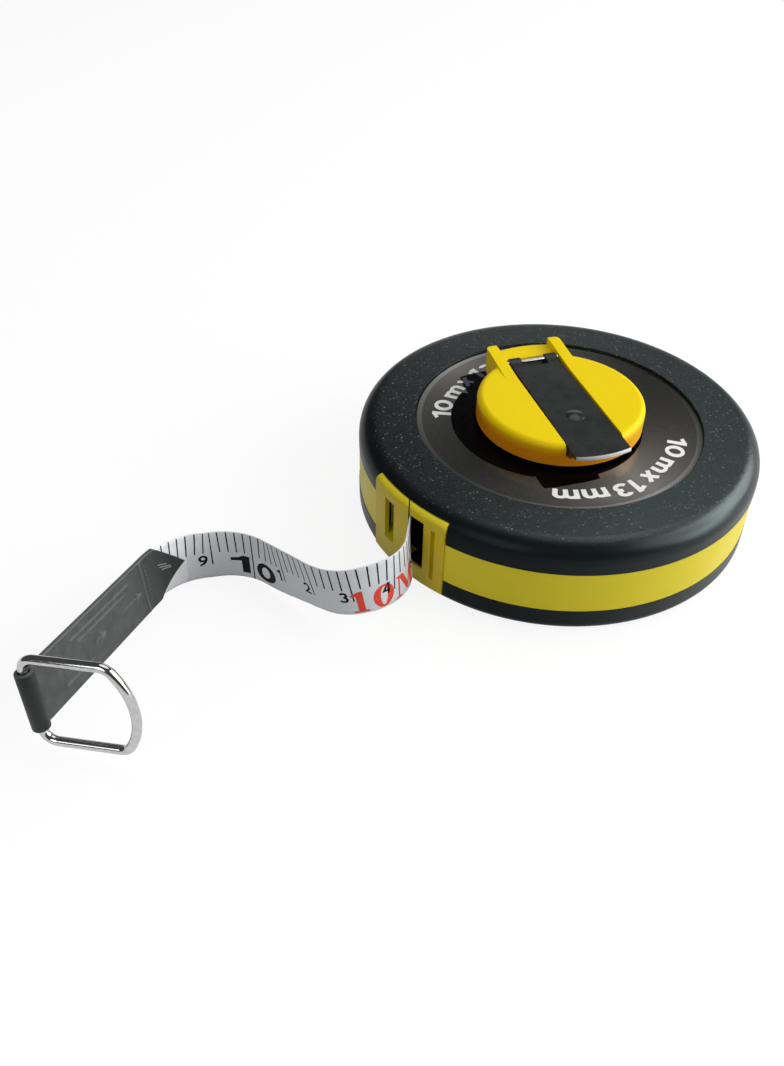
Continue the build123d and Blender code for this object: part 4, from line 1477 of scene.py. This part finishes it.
@dataclass
class Tab:
    """The end tab: a pointed moulded strip with embossed marks and a rolled sleeve."""

    line: TapeLine
    width: float = 14.0
    thickness: float = 1.2
    point: float = 8.0
    corner: float = 113.65
    overlap: float = 1.45
    sleeve_radius: float = 1.89
    hole_radius: float = 1.08
    round_edge: float = 0.35
    sleeve_edge: float = 0.3
    sleeve_map: float = 15.7
    columns: int = 56
    rows: int = 220
    mark_rise: float = 0.22
    mark_width: float = 0.32
    mark_ends: float = 6.0
    bar: float = 119.0
    bar_slant: float = 0.06
    bar_width: float = 0.3
    ribs: tuple[tuple[float, float, float], ...] = (
        (124.0, 145.0, 4.7), (126.0, 143.0, 3.1), (139.0, 149.0, -3.6),
    )
    arrows: tuple[tuple[float, float, float], ...] = ((121.0, 128.5, -0.2), (134.5, 138.0, -0.7))
    arrow_rise: float = 0.2
    arrow_width: float = 0.4
    barb_slope: float = 0.6
    barb_length: float = 2.0
    hollow: float = 0.05
    bump_count: int = 7
    bump_pitch: float = 1.3
    bump_gap: float = 1.3
    bump_width: float = 0.6
    bump_height: float = 0.5
    bump_sink: float = 0.03
    scratches: tuple[tuple[Spot, Spot], ...] = (
        ((113.4, 2.5), (110.6, 1.5)), ((112.9, 1.6), (109.6, 0.6)), ((112.2, 0.7), (109.4, 0.1)),
    )
    scratch_width: float = 0.22

    def relief(self, distance: float, sideways: float) -> float:
        """How far the embossed marks stand out of the face at a place.

        Args:
            distance: millimetres along the tape's line.
            sideways: millimetres across it.

        Returns:
            The height in millimetres.
        """

        def ridge(gap: float, width: float) -> float:
            """A rounded ridge's height at a gap from its middle, as a share."""
            return math.exp(-((gap / width) ** 2))

        def within(start: float, stop: float) -> float:
            """How fully the place lies between a soft start and a soft end, as a share."""
            begun = 1 / (1 + math.exp(-(distance - start) * self.mark_ends))
            return begun / (1 + math.exp((distance - stop) * self.mark_ends))

        slant = self.bar_slant * sideways
        rise = self.mark_rise * ridge(distance - self.bar - slant, self.bar_width)
        for start, stop, middle in self.ribs:
            rise += self.mark_rise * within(start, stop) * ridge(sideways - middle, self.mark_width)
        for head, tail, middle in self.arrows:
            aside = abs(sideways - middle)
            rise += self.arrow_rise * within(head, tail) * ridge(aside, self.arrow_width)
            if -0.2 < distance - head < self.barb_length:
                barb = aside - (distance - head) * self.barb_slope
                rise += self.arrow_rise * ridge(barb, self.mark_width)
        return rise - self.hollow * ridge(sideways, self.width / 2 - 0.9)

    def strip(self) -> Form:
        """The pointed strip, closed, with rounded edges.

        Returns:
            The form in place, in metres.
        """
        half, thin, soft = self.width / 2, self.thickness / 2, self.round_edge
        stop = self.line.end - self.overlap
        form = bmesh.new()
        layer = form.loops.layers.uv.new(MAP)
        raising = form.verts.layers.float.new(TAB_PLASTIC.relief)
        turns = [math.pi / 2 * (2 * index / self.columns - 1) for index in range(self.columns + 1)]
        offsets = [half * math.sin(turn) for turn in turns]
        spots: dict[bmesh.types.BMVert, Spot] = {}

        def row(share: float, side: int) -> list[bmesh.types.BMVert]:
            """The corners across one face, at a share of the way from the point.

            Args:
                share: the share of the way.
                side: 1 for the top and -1 for the underside.

            Returns:
                The corners in order.
            """
            line = []
            for x in offsets:
                start = self.corner - self.point * (1 - min(abs(x) / half, 1.0))
                d = start + (stop - start) * share
                from_edge = min(half - abs(x), (d - start) * 0.9 + 0.02)
                drop = 0.0
                if from_edge < soft:
                    drop = soft - math.sqrt(max(soft**2 - (soft - from_edge) ** 2, 0.0))
                raised = self.relief(d, x) if side > 0 else 0.0
                lift = side * (thin - drop) + raised * (drop < 0.01)
                line.append(form.verts.new(self.line.point(d, x, lift)))
                line[-1][raising] = max(raised, 0.0)
                spots[line[-1]] = (d / 10, x / self.width + 0.5)
            return line

        shares = [(index / self.rows) ** 1.15 for index in range(self.rows + 1)]
        rings = [row(share, 1) + row(share, -1)[::-1] for share in shares]
        skin(form, rings, capped=False)
        for ring in (rings[0], rings[-1]):
            for spot in range(self.columns):
                form.faces.new((ring[spot], ring[spot + 1], ring[-2 - spot], ring[-1 - spot]))
        for face in form.faces:
            for loop in face.loops:
                loop[layer].uv = spots[loop.vert]
        bmesh.ops.recalc_face_normals(form, faces=form.faces)
        return form

    def sleeve(self) -> Form:
        """The rolled sleeve that holds the ring's wire, with rounded ends.

        Returns:
            The form in place, in metres.
        """
        half, out, hole = self.width / 2, self.sleeve_radius, self.hole_radius
        soft, nick, count = self.sleeve_edge, self.sleeve_edge * 0.3, 48
        here = self.line.at(self.line.end)
        profile = [(hole, -half + soft), (hole + soft / 2, -half)]
        profile += [(out - soft, -half), (out - nick, -half + nick), (out, -half + soft)]
        profile += [(radius, -side) for radius, side in reversed(profile)]

        def chart(turn: int, spot: int) -> Spot:
            """A corner's place on the map, past the strip's own."""
            across = profile[spot % len(profile)][1] / self.width + 0.5
            return self.sleeve_map + turn / count, across

        form = bmesh.new()
        form.loops.layers.uv.new(MAP)
        rings = []
        for index in range(count):
            angle = 2 * math.pi * index / count
            way = here.along * math.cos(angle) + here.face * math.sin(angle)
            places = [(here.middle + way * r + here.across * s) * MM for r, s in profile]
            rings.append([form.verts.new(place) for place in places])
        return skin(form, rings, wraps=True, chart=chart)

    def bumps(self) -> Form:
        """The row of small bumps beside the line across the tab.

        Returns:
            The form in place, in metres.
        """
        count, pitch, wide = self.bump_count, self.bump_pitch, self.bump_width
        size = {"Width": wide, "Length": wide, "Thickness": self.bump_height}
        row = DOMES.row(TAB_PLASTIC, Count=count, Pitch=pitch, **size)
        shifted(row, -pitch * (count - 1) / 2)
        start, lift = self.bar - self.bump_gap, self.thickness / 2 - self.bump_sink

        def place(at: Vector) -> Vector:
            """A point of the row, laid across the tab beside its bar."""
            return self.line.point(start + self.bar_slant * at.x - at.y, at.x, lift + at.z)

        return mapped(row, place)

    def scuffs(self) -> Form:
        """The pale scratches behind the tab's point.

        Returns:
            The form in place, in metres.
        """
        lift = self.thickness / 2 + PRINT_LIFT
        form = joined([drawn(scratch, self.scratch_width) for scratch in self.scratches])
        return mapped(form, lambda at: self.line.point(at.x, at.y, lift + at.z))

    def build(self) -> None:
        """Make the tab."""
        form = joined([self.strip(), self.sleeve(), self.bumps()])
        piece = new_piece("tab_strip", form, TAB_PLASTIC)
        smooth(piece, 40)
        hand_over(piece, "tape", Slot.TAB, "end_tab")
        hand_over(new_piece("tab_scuffs", self.scuffs(), SCUFF), "tape", Slot.TAB)


@dataclass
class Label:
    """The label's prints, the tape's size twice round the edge, and a painted shadow of the crank
    in gloss black.
    """

    foot_radius: float = 26.35
    cap: float = 4.65
    text_middle: Spot = (-0.83, -0.84)
    arcs: tuple[Spot, ...] = ((-51.4, -139.4), (138.0, 50.0))
    # painted shadow of the crank disc and its lugs: an offset circle with two lobes, each given by
    # azimuth and radius
    shadow_radius: float = 23.4
    shadow_middle: Spot = (-2.4, 1.7)
    hole_radius: float = 16.95
    shadow_lift: float = 2 * PRINT_LIFT
    text_lift: float = 3.5 * PRINT_LIFT
    shadow_tabs: tuple[tuple[Spot, ...], ...] = (
        ((-149.0, 23.9), (-143.0, 27.84), (-128.8, 25.45), (-113.3, 24.17), (-112.6, 21.98)),
        ((60.0, 22.0), (80.0, 25.6), (90.1, 28.05), (101.3, 29.87), (113.7, 23.57)),
    )

    def __post_init__(self) -> None:
        """Find the label's face and the middle of the letters."""
        self.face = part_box("front_label")[1].z / MM
        self.middle_radius = self.foot_radius + self.cap / 2

    def shadow_edge(self, azimuth: float) -> float:
        """The painted shadow's radius at an azimuth in degrees.

        Args:
            azimuth: the azimuth.

        Returns:
            The radius in millimetres.
        """
        for tab in self.shadow_tabs:
            for (start, near), (stop, far) in zip(tab, tab[1:]):
                if start <= azimuth <= stop:
                    return near + (far - near) * (azimuth - start) / (stop - start)
        way = math.radians(azimuth)
        x, y = self.shadow_middle
        reach = x * math.cos(way) + y * math.sin(way)
        return reach + math.sqrt(self.shadow_radius**2 - x * x - y * y + reach * reach)

    def painted_shadow(self) -> bpy.types.Object:
        """The crank's painted shadow on the label, in gloss black.

        Returns:
            The piece.
        """
        marks = [-180 + 1.5 * index for index in range(240)]
        marks += [azimuth + 0.01 for tab in self.shadow_tabs for azimuth, _ in tab]
        marks.sort()
        ways = [(math.cos(math.radians(mark)), math.sin(math.radians(mark))) for mark in marks]
        reaches = [self.shadow_edge(mark) for mark in marks]
        outer = [(c * reach, s * reach) for reach, (c, s) in zip(reaches, ways)]
        inner = [(c * self.hole_radius, s * self.hole_radius) for c, s in ways]
        form = shifted(ringed(outer, inner), 0.0, 0.0, self.face + self.shadow_lift)
        return new_piece("label_painted_shadow", mapped(form, lambda at: at * MM), LABEL_SHADOW)

    def bent(self, form: Form, azimuth: float) -> Form:
        """Bend a flat line of letters clockwise round the label, with its feet inwards.

        Args:
            form: the letters in millimetres.
            azimuth: where the line starts, in degrees.

        Returns:
            The form in place, in metres.
        """

        def place(at: Vector) -> Vector:
            """A point of the flat line, bent round the label.

            Args:
                at: the point in millimetres.

            Returns:
                Its place in metres.
            """
            way = math.radians(azimuth) - at.x / self.middle_radius
            reach = self.foot_radius + at.y
            x, y = self.text_middle
            level = self.face + self.text_lift + at.z
            return Vector((x + reach * math.cos(way), y + reach * math.sin(way), level)) * MM

        return mapped(sliced(form, 0.7), place)

    def size_text(self) -> Form:
        """The tape's size in bold letters on two arcs.

        Returns:
            The form in place, in metres.
        """
        forms = []
        for start, stop in self.arcs:
            letters = Letters(height=self.cap, weight=0.92, gap=0.47, stretch=1.38)
            form = letters.form("10 mx 13 mm")
            low, high = span(form)
            arc = math.radians(abs(stop - start)) * self.middle_radius
            widened(form, arc / (high - low), low)
            forms.append(self.bent(form, start))
        return joined(forms)

    def build(self) -> None:
        """Make the prints and the painted shadow."""
        text = new_piece("label_size_text", self.size_text(), LABEL_WHITE)
        hand_over(text, "case", Slot.LABEL)
        hand_over(self.painted_shadow(), "case", Slot.LABEL)


@dataclass
class MouthShade:
    """Painted shade inside the mouth: thin black plates on the walls behind its two windows, where
    the inside lies in shade.
    """

    plates: tuple[tuple[tuple[float, float, float], tuple[float, float, float]], ...] = (
        ((-48.7, -6.1, 6.61), (-43.6, -0.6, 6.71)),
        ((-46.7, 9.3, 7.61), (-45.4, 9.4, 19.1)),
    )
    edge: float = 0.02

    def build(self) -> None:
        """Make the plates, with cut edges."""
        forms = []
        for low, high in self.plates:
            form = bmesh.new()
            bmesh.ops.create_cube(form, size=1.0)
            for vert in form.verts:
                spots = [a + (b - a) * (c + 0.5) for a, b, c in zip(low, high, vert.co)]
                vert.co = Vector(spots) * MM
            cut = self.edge * MM
            bmesh.ops.bevel(form, geom=form.edges, offset=cut, segments=1, affect="EDGES")
            forms.append(form)
        hand_over(new_piece("mouth_painted_shade", joined(forms), MOUTH_SHADE), "case", Slot.CASE)


@dataclass
class Housing(Assembly):
    """The case: covers, cap, band and label."""

    pieces: tuple[Carried, ...] = (
        Carried("front_cover", "case", Slot.CASE, CASE_PLASTIC, 0.2),
        Carried("rear_cover", "case", Slot.CASE, CASE_PLASTIC, 0.2),
        Carried("rear_cap", "case", Slot.CASE, CASE_PLASTIC, 0.15),
        Carried("rim_band", "case", Slot.BAND, BAND_PLASTIC, 0.2),
        Carried("front_label", "case", Slot.LABEL, LABEL_FOIL, 0.0),
    )


@dataclass
class Crank(Assembly):
    """The winding crank: disc, folding arm and finger knob."""

    pieces: tuple[Carried, ...] = (
        Carried("crank_disc", "reel", Slot.CRANK, CRANK_PLASTIC, 0.22),
        Carried("crank_arm", "arm", Slot.ARM, ARM_PLASTIC, 0.25),
        Carried("knob_rivet", "arm", Slot.ARM, ARM_PLASTIC, 0.05),
        Carried("finger_knob", "knob", Slot.ARM, ARM_PLASTIC, 0.08),
        Carried("crank_hinge_pin", "reel", Slot.CHROME, CHROME, 0.08),
    )


@dataclass
class Wire(Assembly):
    """The wire ring at the tape's end."""

    pieces: tuple[Carried, ...] = (
        Carried("end_ring", "ring", Slot.CHROME, CHROME, 0.0, 50.0),
    )


@dataclass
class Inside:
    """The screws and what lies inside the case: solids that only get their finishes."""

    finishes: tuple[tuple[str, Finish], ...] = (
        ("case_screws", SCREW_STEEL),
        ("thrust_washer", NYLON),
        ("reel_hub", REEL_PLASTIC),
        ("reel_front_flange", REEL_PLASTIC),
        ("tape_coil", COIL_WHITE),
        ("tape_anchor_pin", PIN_STEEL),
        ("hub_washer", PIN_STEEL),
        ("hub_screw", SCREW_STEEL),
    )

    def build(self) -> None:
        """Give each solid its finish."""
        for node, finish in self.finishes:
            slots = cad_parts[node].data.materials
            slots.clear()
            slots.append(finish.material())
            LOG.info("%s: %s", node, finish.name)


# ---------------------------------------------------------------- studio


@dataclass
class Lamp:
    """One soft round lamp: where it stands, its size, and its power."""

    name: str
    azimuth: float
    elevation: float
    distance: float
    size: float
    power: float

    def build(self, target: Vector) -> None:
        """Put the lamp up, facing the object.

        Args:
            target: what it faces, in metres.
        """
        light = bpy.data.lights.new(self.name, "AREA")
        light.shape = "DISK"
        light.size = self.size
        light.energy = self.power
        lamp = bpy.data.objects.new(self.name, light)
        way, lift = math.radians(self.azimuth), math.radians(self.elevation)
        level = math.cos(lift)
        out = Vector((level * math.cos(way), level * math.sin(way), math.sin(lift)))
        lamp.location = target + out * self.distance
        lamp.rotation_euler = (-out).to_track_quat("-Z", "Y").to_euler()
        bpy.context.scene.collection.objects.link(lamp)


@dataclass
class Studio:
    """The pale floor, the white surroundings, the lamps and the camera."""

    ambient: float = 0.18
    mirrored: float = 0.06
    glow: float = 0.86
    bounce: float = 0.16
    reflected: float = 0.6
    reach: float = 3.0
    floor_gap: float = 0.03
    position: tuple[float, float, float] = (-165.483, -132.754, 167.381)
    forward: tuple[float, float, float] = (0.487302, 0.574607, -0.657543)
    roll: float = 1.046
    lens: float = 34.497
    lamps: tuple[Lamp, ...] = (
        Lamp("key", -52.0, 31.0, 0.8, 0.7, 4.2),
        Lamp("side", -20.0, 23.0, 0.8, 0.5, 2.6),
        Lamp("top", 35.0, 70.0, 0.8, 0.7, 1.5),
        Lamp("low", -50.0, 9.0, 0.8, 0.4, 1.3),
        Lamp("left", -165.0, 30.0, 0.8, 0.5, 1.4),
        Lamp("back", 40.0, 10.0, 0.8, 0.5, 0.4),
    )

    def floor(self) -> None:
        """Lay the floor: white to the camera, and it keeps a soft shadow."""
        nodes = Nodes("floor_white")
        nodes.set(Base_Color=(0.4, 0.4, 0.4), Roughness=0.9, Specular_IOR_Level=0.0)
        glow = nodes.add("Emission")
        glow.inputs["Strength"].default_value = self.glow
        pale = nodes.fed(nodes.add("BsdfDiffuse"), (self.bounce, self.bounce, self.bounce))
        both = nodes.fed(nodes.add("AddShader"), glow.outputs[0], pale.outputs[0])
        plain = nodes.shader.outputs[0]
        pick = nodes.fed(nodes.add("MixShader"), self.seen(nodes), plain, both.outputs[0])
        nodes.link(pick.outputs[0], nodes.out.inputs["Surface"])
        form, reach, level = bmesh.new(), self.reach, CAD_BOX[0][2] - self.floor_gap * MM
        corners = ((-reach, -reach), (reach, -reach), (reach, reach), (-reach, reach))
        form.faces.new([form.verts.new((x, y, level)) for x, y in corners])
        mesh = bpy.data.meshes.new("floor")
        form.to_mesh(mesh)
        form.free()
        mesh.materials.append(nodes.material)
        floor = bpy.data.objects.new("floor", mesh)
        bpy.context.scene.collection.objects.link(floor)

    def seen(self, nodes: Nodes) -> Socket:
        """Whether a ray comes from the camera, straight or by a mirror or a clear piece.

        Args:
            nodes: the floor's nodes.

        Returns:
            The share, from 0 to 1.
        """
        path = nodes.add("LightPath").outputs
        mirrored = nodes.times(path["Is Glossy Ray"], self.reflected)
        total = nodes.math("ADD", path["Is Camera Ray"], mirrored)
        return nodes.math("MINIMUM", nodes.math("ADD", total, path["Is Transmission Ray"]), 1.0)

    def sky(self) -> None:
        """White surroundings to the eye, and a plain even light on the object."""
        world = bpy.data.worlds.new("surroundings")
        bpy.context.scene.world = world
        world.use_nodes = True
        graph = Graph(world.node_tree)
        path = graph.add("LightPath").outputs
        mirror = graph.spread(path["Is Glossy Ray"], 0.0, 1.0, self.ambient, self.mirrored)
        level = graph.spread(path["Is Camera Ray"], 0.0, 1.0, mirror, 1.0)
        shade = graph.fed(graph.add("Background"), (1.0, 1.0, 1.0), level)
        graph.fed(graph.add("OutputWorld"), shade.outputs[0])

    def camera(self) -> None:
        """Stand the camera at its place."""
        data = bpy.data.cameras.new("camera")
        data.lens = self.lens
        data.sensor_width = 36.0
        data.clip_start = 0.01
        camera = bpy.data.objects.new("camera", data)
        forward = Vector(self.forward).normalized()
        level = forward.cross(Vector((0, 0, 1))).normalized()
        turn = math.radians(self.roll)
        right = level * math.cos(turn) + level.cross(forward) * math.sin(turn)
        axes = Matrix((right, right.cross(forward), -forward)).transposed()
        camera.matrix_world = Matrix.Translation(Vector(self.position) * MM) @ axes.to_4x4()
        bpy.context.scene.collection.objects.link(camera)
        bpy.context.scene.camera = camera

    def build(self) -> None:
        """Set the scene round the object."""
        target = (Vector(CAD_BOX[0]) + Vector(CAD_BOX[1])) / 2
        self.floor()
        self.sky()
        for lamp in self.lamps:
            lamp.build(target)
        self.camera()
        bpy.context.scene.view_settings.view_transform = "Standard"


def main() -> None:
    """Build every sub-assembly in order."""
    logging.basicConfig(level=logging.INFO, format="%(name)s: %(message)s")
    line = TapeLine()
    for part in (Housing(), MouthShade(), Crank(), Tape(line), Tab(line), Wire(), Label(), Inside()):
        part.build()
        LOG.info("%s done", type(part).__name__)
    Studio().build()


if __name__ == "__main__":
    main()
